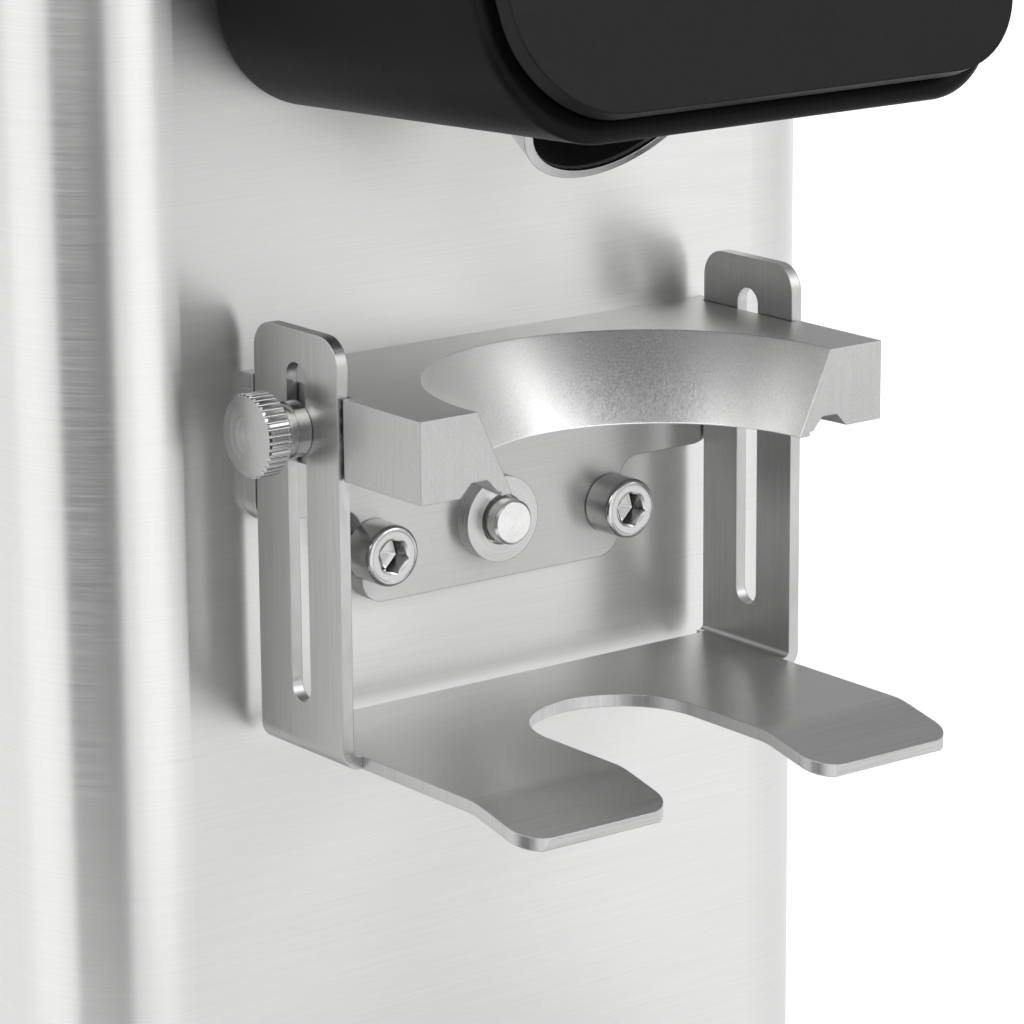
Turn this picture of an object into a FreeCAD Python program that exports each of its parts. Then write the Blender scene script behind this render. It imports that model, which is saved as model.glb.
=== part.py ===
import FreeCAD, Part
import math
import os

# On-demand coffee grinder: a folded steel column on a base, a black head with an outlet tube,
# a crescent rest and a sliding fork that hold a portafilter, and a burr mill with a bean hopper.
# Millimetres, +Z up, front towards -Y. The origin is the centre of the footprint, on the floor.

os.makedirs("parts", exist_ok=True)

# ---- driving dimensions -------------------------------------------------------------------
# Base and feet
base_side_margin = 8.0        # base beyond the column at each side
base_front_reach = 100.0      # from the column's front face to the front of the base
base_height = 24.0
base_corner = 22.0
base_wall = 3.0
base_plate_thickness = 2.0
foot_height = 8.0
foot_radius = 13.0
foot_top_radius = 11.0
foot_inset = 24.0
foot_counterbore = 4.0
foot_screw_size = 5.0
foot_screw_length = 12.0
post_radius = 7.0
tray_depth = 14.0
tray_lip = 2.0
tray_margin = 8.0
tray_side_margin = 14.0
tray_wall = 1.5
tray_corner = 6.0
tray_gap = 0.5                # tray in its recess, at each side

# Column
column_width = 154.0
column_depth = 165.0
column_height = 368.0
column_corner = 20.0
column_wall = 1.5
rear_window_margin = 16.0     # from the top and bottom of the column to the rear opening
rear_cover_margin = 8.0
rear_cover_overlap = 8.0      # rear cover beyond its opening at each side
rear_cover_strip = 1.0        # flat back beside the rear cover
rear_screw_size = 4.0
rear_screw_length = 8.0
rear_screw_inset = 4.5
vent_count = 12
vent_pitch = 8.0
vent_height = 3.0
vent_half = 45.0
vent_low = 40.0               # first vent above the cover's lower edge
column_screw_inset = 24.0     # from the column's side to the screw
column_screw_row = 7.0        # from the inside of the front or back wall to the screw
column_screw_size = 5.0
column_screw_length = 4.9
column_flange = 14.0
column_flange_thickness = 2.0
wire_way_half = 30.0
inlet_reach = 12.0            # cable inlet beyond the back of the base
inlet_depth = 6.0             # cable inlet inside the base
inlet_side = -50.0
inlet_radius = 7.8
inlet_bore = 4.2
inlet_hole = 8.0
inlet_nut = 20.0
inlet_nut_length = 6.0
top_cover_height = 16.0
top_cover_overhang = 1.0
top_cover_wall = 3.0
top_cover_rib = 5.0           # column's outside to the inside of the cover's skirt
top_cover_skirt = 6.0

# Portafilter holder, heights measured from the start pin
pin_height = 190.0            # start pin above the floor
mounting_plate_thickness = 3.0
mounting_over_arm = 0.1       # plate beyond the arms at each side
mounting_lower_half = 26.0
mounting_step = 5.6
mounting_bottom = -10.5
mounting_corner = 4.0
screw_spacing = 48.0
screw_drop = 1.6
mounting_screw_size = 6.0
mounting_screw_length = 12.0
mounting_head_radius = 5.0
mounting_head_length = 6.0
nut_radius = 5.0
nut_length = 11.0
rest_top = 29.9
rest_thickness = 12.7
rest_reach = 45.6             # column face to the front of the tips
rest_in_from_arm = 0.7        # rest's shoulders short of the arms' outer faces
rest_lip_cover = 2.5          # part of the rest above the mounting plate
rest_bore_radius = 34.8
rest_bore_centre = 42.8       # column face to the centre of the upper bore edge
rest_bore_low_radius = 28.4
rest_bore_low_shift = 3.3
rest_lip_drop = 0.7
rest_lip_width = 2.0
rest_groove_inner = 33.0
rest_groove_outer = 38.0
rest_groove_depth = 2.1
rest_screw_size = 5.0
rest_screw_length = 9.0
rest_screw_edge = 4.6         # from the side of the rest's waist to the screw
rest_screw_drop = 6.0
rest_screw_sink = 1.6

# Fork bracket
sheet = 2.0
fork_half_width = 45.9
arm_front = 25.5              # column face to the front edge of the arms
arm_back = 3.4
arm_top = 38.8
arm_top_radius = 4.5
fork_plate_top = -26.7
fork_bend_radius = 3.0
fork_plate_back = 4.8
fork_plate_in = 3.4           # plate's side in from the arm's outer face
prong_reach = 67.5
prong_bend_reach = 52.5
prong_bend_angle = 13.0
prong_bend_radius = 14.0
prong_corner = 5.0
spout_gap = 29.0
spout_gap_centre = 36.1
slot_width = 5.1
slot_low = -19.9
slot_high = 33.7
slot_reach = 14.5             # column face to the slot's centre line

# Thumb screws
thumb_height = 23.5
thumb_shank_radius = 2.5
thumb_collar_radius = 4.4
thumb_collar_length = 5.0
thumb_head_radius = 6.5
thumb_head_length = 4.0
thumb_knurls = 38
thumb_flute_radius = 0.34
thumb_chamfer = 0.3
thumb_groove_depth = 0.4
thumb_groove_width = 0.9
thumb_engagement = 14.0

# Low-headed guide screw in the right arm's slot
guide_head_radius = 4.75
guide_head_length = 2.7
guide_head_round = 1.6
guide_socket = 3.0
guide_socket_depth = 1.6

# Start pin
pin_radius = 3.7
pin_protrusion = 3.0
bushing_flange_radius = 7.1
bushing_flange_thickness = 2.7
bushing_radius = 5.5
bushing_length = 14.0         # column face to the rear end of the bush
pin_collar_radius = 5.0
pin_collar_length = 1.6
pin_travel = 2.5
pin_tail_radius = 1.5
pin_tail_reach = 1.5          # tail beyond the bracket at rest
bushing_nut_flats = 17.0
bushing_nut_length = 5.0
bracket_thickness = 1.5
bracket_half = 10.0
bracket_rise = 14.0
spring_length = 11.5
switch_gap = 0.4
switch_half = 9.0
switch_length = 14.0
switch_rise = 8.0

# Head
head_lean = 24.0              # degrees, the face leans back as it rises
head_rear_half = 49.3
head_front_half = 47.6
head_rear_bottom = 69.6
head_front_bottom = 72.8
head_top = 205.0
head_rear_corner = 19.1
head_front_corner = 16.1
head_front_reach = 73.1       # column face to the face's lower edge
head_wall = 3.0
head_rim_width = 3.6
head_recess = 3.0
head_front_wall = 4.0
head_rim_round = 1.6
panel_half = 46.9
panel_corner = 16.0
panel_thickness = 3.0
panel_standoff = 2.95         # gap between the rim and the back of the panel
panel_rise = 2.9
panel_plinth_inset = 6.0
control_low = 55.0
control_high = 130.0
control_half = 37.0
button_radius = 5.0
button_height = 68.0
button_pitch = 22.0
button_travel = 0.4
button_gap = 0.15            # button in its hole, on the radius
button_lip = 1.5
button_flange = 0.9
button_proud = 0.8
button_stem = 2.0
board_thickness = 1.6
board_gap = 1.0
board_key_radius = 3.0
board_key_height = 0.45
window_half = 24.0
window_low = 92.0
window_high = 122.0
window_corner = 3.0
chute_radius = 17.3
chute_wall = 1.5
chute_slope = 36.3            # degrees below horizontal
chute_reach = 36.8
chute_height = 72.5           # end centre above the start pin

# Mill
mill_reach = 78.0             # column face to the mill's axis
chassis_thickness = 4.0
chassis_height = 281.0
motor_radius = 58.0
motor_length = 74.0
motor_wall = 4.0
stator_inner_radius = 31.0
stator_length = 40.0
stator_lift = 16.0            # motor's underside to the stator
rotor_inset = 2.0             # rotor shorter than the stator at each end
rotor_gap = 0.6
shaft_radius = 8.0
bearing_radius = 17.5
bearing_width = 9.0
bearing_seat = 6.0
bearing_clear = 2.5
motor_floor = 8.0
motor_roof = 6.0
chamber_radius = 60.0
chamber_bore = 44.0
chamber_height = 64.0
chamber_floor = 8.0
carrier_gap = 4.0             # carrier to the chamber's wall
carrier_thickness = 10.0
burr_inset = 2.5              # burr's edge in from the carrier's edge
burr_bore = 21.0
burr_thickness = 6.0
burr_gap = 0.5
burr_land = 5.0               # plain ring outside the grooves
burr_grooves = 24
carrier_web = 12.0            # under the neck, round the bean hole
neck_radius = 34.0
neck_wall = 6.0
shaft_nut_flats = 21.0
shaft_nut_height = 8.0
ring_radius = 56.0
ring_height = 19.0
ring_lift = 1.0
ring_grips = 40
ring_grip_radius = 1.3
ring_grip_stop = 6.0          # plain band above the grips

# Hopper
hopper_wall = 3.0
hopper_spigot = 30.0          # hopper inside the neck
hopper_throat_height = 12.0
hopper_base_radius = 40.0
hopper_cone_height = 34.0
hopper_radius = 78.0
hopper_top_radius = 82.0
hopper_height = 88.0
lid_overhang = 2.0
lid_thickness = 7.0
lid_skirt = 8.0
lid_skirt_gap = 0.8
lid_skirt_wall = 2.2
lid_knob_round = 3.0
lid_knob_radius = 14.0
lid_knob_height = 12.0
gate_thickness = 2.0
gate_half_width = 26.0
gate_stem = 6.0               # blade beyond the hopper's base
gate_grip_depth = 6.0
gate_grip_half = 14.0
gate_grip_rise = 3.0
gate_lift = 5.0               # gate above the top of the adjusting ring

# Power switch and capacitor
capacitor_radius = 17.0
capacitor_height = 72.0
capacitor_side = -42.0
capacitor_in = 40.0           # column's back to the capacitor's axis
rocker_radius = 12.4
rocker_height = 16.0
rocker_valley = 1.2           # rocker's middle beyond the column's side
rocker_crest = 3.2            # its ends, produced to the frame's edges
rocker_sink = 8.5             # rocker's axis in from the column's side
switch_frame_half = 14.5
switch_frame_rise = 10.5
switch_flange = 2.0
switch_reach = 125.0          # column face to the rocker's axis
switch_height = 90.0

# Fits
running_gap = 0.05            # a turning or sliding fit, on the radius
slide_gap = 0.3               # loose clearance between moving pieces
screw_gap = 0.2               # a screw in its clearance hole, on the radius
rest_gap = 0.1                # between a moving piece and what it rests on

# ---- worked-out places --------------------------------------------------------------------
base_width = column_width + 2.0 * base_side_margin
mounting_upper_half = fork_half_width + mounting_over_arm
rest_half_width = fork_half_width - rest_in_from_arm
fork_plate_half = fork_half_width - fork_plate_in
carrier_radius = chamber_bore - carrier_gap
burr_radius = carrier_radius - burr_inset
neck_bore = neck_radius - neck_wall
lid_radius = hopper_top_radius + lid_overhang
overall_depth = base_front_reach + column_depth + inlet_reach
face = base_front_reach - overall_depth / 2.0
back = face + column_depth
base_front = face - base_front_reach
base_bottom = foot_height + base_plate_thickness
base_top = base_bottom + base_height
column_top = base_top + column_height
cover_top = column_top + top_cover_height
mill = face + mill_reach
chassis_top = chassis_height + chassis_thickness
plate_front = face - mounting_plate_thickness
thumb_z = pin_height + thumb_height
slot_y = face - slot_reach
rest_waist = fork_half_width - sheet - slide_gap
motor_bottom = chassis_height - motor_length
chamber_top = chassis_top + chamber_height
carrier_bottom = chassis_top + chamber_floor + 2.0
lower_burr_bottom = carrier_bottom + carrier_thickness
upper_burr_bottom = lower_burr_bottom + burr_thickness + burr_gap
upper_carrier_bottom = upper_burr_bottom + burr_thickness
ring_bottom = cover_top + ring_lift
ring_top = ring_bottom + ring_height
throat_top = ring_top + hopper_throat_height
cone_top = throat_top + hopper_cone_height
hopper_top = cone_top + hopper_height

X = FreeCAD.Vector(1, 0, 0)
Y = FreeCAD.Vector(0, 1, 0)
Z = FreeCAD.Vector(0, 0, 1)


# ---- small builders -----------------------------------------------------------------------
def point(x, y, z):
    return FreeCAD.Vector(x, y, z)


def save(name, shape):
    """Write one node."""
    shape.exportStep("parts/" + name + ".step")


def block(x0, x1, y0, y1, z0, z1):
    return Part.makeBox(x1 - x0, y1 - y0, z1 - z0, point(x0, y0, z0))


def rod(radius, length, start, axis=Z):
    return Part.makeCylinder(radius, length, start, axis)


def tube(outer, inner, length, start, axis=Z):
    return rod(outer, length, start, axis).cut(rod(inner, length, start, axis))


def join(shapes):
    return shapes[0].fuse(shapes[1:]).removeSplitter()


def remove(shape, tools):
    return shape.cut(tools).removeSplitter()


def mirrored(shape):
    return shape.mirror(point(0, 0, 0), X)


def rounded(x0, x1, y0, y1, z0, z1, radius):
    """A block with its four upright edges rounded."""
    solid = block(x0, x1, y0, y1, z0, z1)
    upright = [e for e in solid.Edges if abs(e.tangentAt(e.FirstParameter).z) > 0.9]
    return solid.makeFillet(radius, upright)


def inset(shape_args, amount, radius, z0, z1):
    """The plan rectangle (x0, x1, y0, y1) drawn in by an amount on every side."""
    x0, x1, y0, y1 = shape_args
    return rounded(x0 + amount, x1 - amount, y0 + amount, y1 - amount, z0, z1, radius - amount)


def extruded(points, direction):
    """A straight-sided outline pushed along a direction."""
    return Part.Face(Part.makePolygon(points + [points[0]])).extrude(direction)


def hexagon(across_flats, length, start, axis):
    """A hexagonal prism with corners at the top and bottom when its axis is level."""
    side = Z if abs(axis.z) < 0.5 else X
    other = axis.cross(side)
    radius = across_flats / math.sqrt(3.0)
    corners = []
    for i in range(6):
        turn = math.radians(60.0 * i)
        corners.append(start + side * (radius * math.cos(turn)) + other * (radius * math.sin(turn)))
    return extruded(corners, axis * length)


def socket_screw(seat, axis, size, length, head_radius, head_length):
    """A socket cap screw: the head's underside sits at seat, the shank runs along the axis."""
    head = rod(head_radius, head_length, seat - axis * head_length, axis)
    shank = rod(size / 2.0, length, seat, axis)
    socket = hexagon(size * 0.83, head_length * 0.6, seat - axis * head_length, axis)
    return remove(join([head, shank]), [socket])


def pan_screw(seat, axis, size, length):
    """A small screw with a round head."""
    head = rod(size * 0.95, size * 0.6, seat - axis * (size * 0.6), axis)
    return join([head, rod(size / 2.0, length, seat, axis)])


def slot(width, low, high, y, x0, x1):
    """An upright slot with round ends, cut along X."""
    radius = width / 2.0
    middle = block(x0, x1, y - radius, y + radius, low + radius, high - radius)
    ends = [rod(radius, x1 - x0, point(x0, y, z), X) for z in (low + radius, high - radius)]
    return join([middle] + ends)


# ---- base ---------------------------------------------------------------------------------
base_plan = (-base_width / 2.0, base_width / 2.0, base_front, back)
foot_places = {
    "front_left": (-base_width / 2.0 + foot_inset, base_front + foot_inset),
    "front_right": (base_width / 2.0 - foot_inset, base_front + foot_inset),
    "rear_left": (-base_width / 2.0 + foot_inset, back - foot_inset),
    "rear_right": (base_width / 2.0 - foot_inset, back - foot_inset),
}
tray_half = base_width / 2.0 - tray_side_margin
tray_floor = base_top - tray_depth
tray_rear = face - tray_margin
inlet_z = base_bottom + base_height / 2.0
column_screw_x = column_width / 2.0 - column_screw_inset


def column_screw_places():
    near = face + column_wall + column_screw_row
    far = back - column_wall - column_screw_row
    return [(x, y) for x in (-column_screw_x, column_screw_x) for y in (near, far)]


def base_housing():
    outer = rounded(*base_plan, base_bottom, base_top, base_corner)
    cavity = inset(base_plan, base_wall, base_corner, base_bottom, base_top - base_wall)
    recess_plan = (-tray_half, tray_half, base_front + tray_margin, tray_rear)
    grown = (recess_plan[0] - base_wall, recess_plan[1] + base_wall,
             recess_plan[2] - base_wall, recess_plan[3] + base_wall)
    tub = rounded(*grown, tray_floor - base_wall, base_top, tray_corner + base_wall)
    posts = [rod(post_radius, base_height - base_wall, point(x, y, base_bottom))
             for x, y in foot_places.values()]
    recess = rounded(*recess_plan, tray_floor, base_top, tray_corner)
    bore_depth = foot_counterbore + foot_screw_length - base_bottom
    bores = [rod(foot_screw_size / 2.0 + running_gap, bore_depth, point(x, y, base_bottom))
             for x, y in foot_places.values()]
    wire_way = block(-wire_way_half, wire_way_half, mill - wire_way_half, mill + wire_way_half,
                     base_top - base_wall, base_top)
    inlet_way = rod(inlet_hole, 2.0 * base_wall, point(inlet_side, back - 1.5 * base_wall, inlet_z), Y)
    holes = [rod(column_screw_size / 2.0 + running_gap, base_wall, point(x, y, base_top - base_wall))
             for x, y in column_screw_places()]
    hollow = outer.cut(cavity.cut([tub] + posts))
    return remove(hollow, [recess, wire_way, inlet_way] + bores + holes)


def base_plate():
    plate = inset(base_plan, 1.0, base_corner, foot_height, base_bottom)
    holes = [rod(foot_screw_size / 2.0 + screw_gap, base_plate_thickness, point(x, y, foot_height))
             for x, y in foot_places.values()]
    return remove(plate, holes)


def foot(x, y):
    body = Part.makeCone(foot_radius, foot_top_radius, foot_height, point(x, y, 0))
    bore = rod(foot_screw_size / 2.0 + screw_gap, foot_height, point(x, y, 0))
    counterbore = rod(5.4, foot_counterbore, point(x, y, 0))
    return remove(body, [bore, counterbore])


def foot_screws():
    return Part.makeCompound([pan_screw(point(x, y, foot_counterbore), Z, foot_screw_size, foot_screw_length)
                              for x, y in foot_places.values()])


def grounds_tray():
    plan = (-tray_half, tray_half, base_front + tray_margin, tray_rear)
    bottom = tray_floor + rest_gap
    top = base_top + tray_lip
    outer = inset(plan, tray_gap, tray_corner, bottom, top)
    hollow = inset(plan, tray_gap + tray_wall, tray_corner, bottom + tray_wall, top)
    return remove(outer, [hollow])


def cable_inlet():
    start = point(inlet_side, back - inlet_depth, inlet_z)
    body = rod(inlet_radius, inlet_reach + inlet_depth, start, Y)
    nut = hexagon(inlet_nut, inlet_nut_length, point(inlet_side, back, inlet_z), Y)
    bore = rod(inlet_bore, inlet_reach + inlet_depth, start, Y)
    return remove(join([body, nut]), [bore])


# ---- column -------------------------------------------------------------------------------
column_plan = (-column_width / 2.0, column_width / 2.0, face, back)
chute_axis = point(0, -math.cos(math.radians(chute_slope)), -math.sin(math.radians(chute_slope)))
chute_end = point(0, face - chute_reach, pin_height + chute_height)
chute_length = (chute_reach + mill_reach - chamber_radius + 6.0) / math.cos(math.radians(chute_slope))
mounting_screw_places = [point(side * screw_spacing / 2.0, 0, pin_height - screw_drop)
                         for side in (-1.0, 1.0)]
rear_cover_half = column_width / 2.0 - column_corner - rear_cover_strip
rear_cover_low = base_top + rear_cover_margin
rear_cover_high = column_top - rear_cover_margin


def at_face(place, y):
    """The same place moved to a distance y behind the column's front face."""
    return point(place.x, face + y, place.z)


def chute_rod(radius, ahead, length):
    """A cylinder on the outlet's axis that starts a little ahead of the outlet's end."""
    return rod(radius, length, chute_end + chute_axis * ahead, chute_axis * -1.0)


def rear_screw_places():
    middle = (rear_cover_low + rear_cover_high) / 2.0
    rows = (rear_cover_low + rear_screw_inset, middle, rear_cover_high - rear_screw_inset)
    side_x = rear_cover_half - rear_cover_overlap / 2.0
    return [(side * side_x, z) for side in (-1.0, 1.0) for z in rows]


def column_shell():
    outer = rounded(*column_plan, base_top, column_top, column_corner)
    inner = inset(column_plan, column_wall, column_corner, base_top, column_top)
    window_half_width = rear_cover_half - rear_cover_overlap
    window = block(-window_half_width, window_half_width, back - column_wall, back,
                   base_top + rear_window_margin, column_top - rear_window_margin)
    flange_top = base_top + column_flange_thickness
    ring = inset(column_plan, column_wall, column_corner, base_top, flange_top)
    floor_opening = inset(column_plan, column_wall + column_flange, column_corner + 4.0, base_top, flange_top)
    flange = ring.cut(floor_opening)
    holes = [chute_rod(chute_radius + slide_gap, 0.0, 80.0)]
    holes.append(rod(bushing_radius + running_gap, column_wall, at_face(point(0, 0, pin_height), 0), Y))
    holes += [rod(nut_radius + running_gap, column_wall, at_face(p, 0), Y) for p in mounting_screw_places]
    holes += [rod(rear_screw_size / 2.0 + running_gap, column_wall, point(x, back - column_wall, z), Y)
              for x, z in rear_screw_places()]
    holes += [rod(column_screw_size / 2.0 + screw_gap, column_flange_thickness, point(x, y, base_top))
              for x, y in column_screw_places()]
    switch_y = face + switch_reach
    holes.append(block(column_width / 2.0 - column_wall, column_width / 2.0,
                       switch_y - switch_frame_half - screw_gap, switch_y + switch_frame_half + screw_gap,
                       switch_height - switch_frame_rise - screw_gap,
                       switch_height + switch_frame_rise + screw_gap))
    return remove(join([outer.cut(inner), flange]), [window] + holes)


def column_screws():
    seat = base_top + column_flange_thickness
    return Part.makeCompound([pan_screw(point(x, y, seat), Z * -1.0, column_screw_size, column_screw_length)
                              for x, y in column_screw_places()])


def rear_cover():
    sheet_metal = block(-rear_cover_half, rear_cover_half, back, back + column_wall,
                        rear_cover_low, rear_cover_high)
    rows = [rear_cover_low + vent_low + vent_pitch * i for i in range(vent_count)]
    vents = [block(-vent_half, vent_half, back, back + column_wall, z, z + vent_height) for z in rows]
    holes = [rod(rear_screw_size / 2.0 + screw_gap, column_wall, point(x, back, z), Y)
             for x, z in rear_screw_places()]
    return remove(sheet_metal, vents + holes)


def rear_cover_screws():
    return Part.makeCompound([pan_screw(point(x, back + column_wall, z), Y * -1.0, rear_screw_size,
                                        rear_screw_length) for x, z in rear_screw_places()])


def top_cover():
    over = -top_cover_overhang
    outer = inset(column_plan, over, column_corner, column_top, cover_top)
    hollow = inset(column_plan, top_cover_rib, column_corner, column_top, cover_top - top_cover_wall)
    skirt_low = column_top - top_cover_skirt
    skirt_outer = inset(column_plan, column_wall + slide_gap, column_corner, skirt_low, column_top)
    skirt_inner = inset(column_plan, top_cover_rib, column_corner, skirt_low, column_top)
    opening = rod(neck_radius + top_cover_wall, top_cover_height, point(0, mill, column_top))
    return remove(join([outer.cut(hollow), skirt_outer.cut(skirt_inner)]), [opening])


# ---- head ---------------------------------------------------------------------------------
lean = math.radians(head_lean)
face_low = point(0, face - head_front_reach, pin_height + head_front_bottom)
face_length = (head_top - head_front_bottom) / math.cos(lean)
panel_back = panel_standoff
panel_front = panel_standoff + panel_thickness


def on_face(shape):
    """Place a shape drawn with X across, Y up the leaning face and Z out of it."""
    shape.Placement = FreeCAD.Placement(face_low, FreeCAD.Rotation(X, 90.0 - head_lean))
    return shape


def face_plate(half, low, high, back_z, front_z, radius):
    """A rounded plate parallel to the head's face."""
    return on_face(rounded(-half, half, low, high, back_z, front_z, radius))


def head_profile(y, half, bottom, top, radius):
    """One cross-section of the head: a rounded rectangle in the plane at y."""
    z0 = pin_height + bottom
    z1 = pin_height + top
    cx = half - radius
    corners = [(cx, z0 + radius, -90.0), (cx, z1 - radius, 0.0),
               (-cx, z1 - radius, 90.0), (-cx, z0 + radius, 180.0)]
    edges = []
    last = None
    for x, z, start in corners:
        along = [math.radians(start + step) for step in (0.0, 45.0, 90.0)]
        p = [point(x + radius * math.cos(a), y, z + radius * math.sin(a)) for a in along]
        if last:
            edges.append(Part.makeLine(last, p[0]))
        else:
            first = p[0]
        edges.append(Part.Arc(p[0], p[1], p[2]).toShape())
        last = p[2]
    edges.append(Part.makeLine(last, first))
    return Part.Wire(edges)


def head_taper(shrink):
    """The head's tapered body, drawn in by an amount, carried on past its leaning face."""
    reach = head_front_reach + 30.0
    grow = reach / head_front_reach
    half = head_rear_half + (head_front_half - head_rear_half) * grow
    bottom = head_rear_bottom + (head_front_bottom - head_rear_bottom) * grow
    corner = head_rear_corner + (head_front_corner - head_rear_corner) * grow
    rear = head_profile(face, head_rear_half - shrink, head_rear_bottom + shrink, head_top - shrink,
                        head_rear_corner - shrink)
    front = head_profile(face - reach, half - shrink, bottom + shrink, head_top - shrink, corner - shrink)
    return Part.makeLoft([rear, front], True, True)


def ahead_of_face(offset):
    """Everything in front of a plane parallel to the head's face."""
    return on_face(block(-100.0, 100.0, -60.0, 260.0, offset, offset + 120.0))


def is_front_edge(edge):
    """An edge that lies in the plane of the head's face."""
    normal = point(0, -math.cos(lean), math.sin(lean))
    ends = [v.Point for v in edge.Vertexes]
    return all(abs((p - face_low).dot(normal)) < 0.01 for p in ends)


def head_housing():
    outer = head_taper(0.0).cut(ahead_of_face(0.0))
    outer = outer.makeFillet(head_rim_round, [e for e in outer.Edges if is_front_edge(e)])
    cavity = head_taper(head_wall).cut(ahead_of_face(-head_recess - head_front_wall))
    recess = face_plate(head_front_half - head_rim_width, head_rim_width, face_length - head_rim_width,
                        -head_recess, 1.0, head_front_corner - head_rim_width + 2.0)
    wiring = face_plate(control_half - 7.0, control_low + 6.0, control_high - 6.0, -20.0, 1.0, 3.0)
    spout_way = block(-chute_radius - 2.0, chute_radius + 2.0, face - chute_reach - 12.0, face - 4.0,
                      pin_height + head_rear_bottom - 5.0, pin_height + head_rear_bottom + 12.0)
    return remove(outer, [cavity, recess, wiring, spout_way])


def front_panel():
    high = face_length - panel_rise
    plate = face_plate(panel_half, panel_rise, high, panel_back, panel_front, panel_corner)
    drawn_in = panel_plinth_inset
    plinth = face_plate(panel_half - drawn_in, panel_rise + drawn_in, high - drawn_in,
                        -head_recess, panel_back, panel_corner - drawn_in)
    pocket = face_plate(control_half + board_gap, control_low - board_gap, control_high + board_gap,
                        -head_recess, panel_back, window_corner)
    window = face_plate(window_half, window_low, window_high, panel_back, panel_front, window_corner)
    holes = [on_face(rod(button_radius + button_gap, panel_thickness, point(x, button_height, panel_back)))
             for x in (-button_pitch, 0.0, button_pitch)]
    return remove(join([plate, plinth]), [pocket, window] + holes)


def display_window():
    return face_plate(window_half, window_low, window_high, panel_back, panel_front, window_corner)


def control_board():
    top = -head_recess + board_thickness
    board = on_face(block(-control_half, control_half, control_low, control_high, -head_recess, top))
    keys = [on_face(rod(board_key_radius, board_key_height, point(x, button_height, top)))
            for x in (-button_pitch, 0.0, button_pitch)]
    display = on_face(block(-window_half, window_half, window_low, window_high, top, panel_back))
    return join([board, display] + keys)


def button(x):
    flange_top = panel_back - rest_gap
    flange_low = flange_top - button_flange
    cap_height = panel_front + button_proud - flange_top
    cap = on_face(rod(button_radius, cap_height, point(x, button_height, flange_top)))
    flange = on_face(rod(button_radius + button_lip, button_flange, point(x, button_height, flange_low)))
    key_top = -head_recess + board_thickness + board_key_height
    stem_low = key_top + button_travel + rest_gap
    stem = on_face(rod(button_stem, flange_top - stem_low, point(x, button_height, stem_low)))
    return join([cap, flange, stem])


def outlet_chute():
    outer = chute_rod(chute_radius, 0.0, chute_length)
    bore = chute_rod(chute_radius - chute_wall, 1.0, chute_length + 2.0)
    room = rod(chamber_bore + 6.0, 200.0, point(0, mill, pin_height))
    return remove(outer, [bore, room])


# ---- portafilter holder -------------------------------------------------------------------
rest_screw_places = [point(side * (rest_waist - rest_screw_edge), face,
                           pin_height + rest_top - rest_lip_cover - rest_screw_drop)
                     for side in (-1.0, 1.0)]


def is_step_corner(edge):
    """An edge through the mounting plate, at its lower corners or where it steps in."""
    through = abs(edge.tangentAt(edge.FirstParameter).y) > 0.9
    return through and edge.Vertexes[0].Point.z < pin_height + mounting_step + 0.1


def mounting_plate():
    top = pin_height + rest_top - rest_lip_cover
    upper = block(-mounting_upper_half, mounting_upper_half, plate_front, face,
                  pin_height + mounting_step, top)
    lower = block(-mounting_lower_half, mounting_lower_half, plate_front, face,
                  pin_height + mounting_bottom, top)
    plate = join([upper, lower])
    plate = plate.makeFillet(mounting_corner, [e for e in plate.Edges if is_step_corner(e)])
    holes = [rod(mounting_screw_size / 2.0 + screw_gap, mounting_plate_thickness,
                 at_face(p, -mounting_plate_thickness), Y) for p in mounting_screw_places]
    holes.append(rod(bushing_radius + running_gap, mounting_plate_thickness,
                     point(0, plate_front, pin_height), Y))
    holes += [rod(rest_screw_size / 2.0 + screw_gap, mounting_plate_thickness,
                  p - Y * mounting_plate_thickness, Y) for p in rest_screw_places]
    holes += [rod(rest_screw_size, rest_screw_sink, p - Y * rest_screw_sink, Y) for p in rest_screw_places]
    return remove(plate, holes)


def rest_screws():
    head = rest_screw_sink - 0.1
    return Part.makeCompound([join([rod(rest_screw_size - 0.2, head, p - Y * head, Y),
                                    rod(rest_screw_size / 2.0, rest_screw_length,
                                        p - Y * rest_screw_length, Y)])
                              for p in rest_screw_places])


def mounting_screws():
    return Part.makeCompound([socket_screw(at_face(p, -mounting_plate_thickness), Y, mounting_screw_size,
                                           mounting_screw_length, mounting_head_radius,
                                           mounting_head_length) for p in mounting_screw_places])


def rivet_nuts():
    return Part.makeCompound([tube(nut_radius, mounting_screw_size / 2.0 + running_gap, nut_length,
                                   at_face(p, 0), Y) for p in mounting_screw_places])


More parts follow.
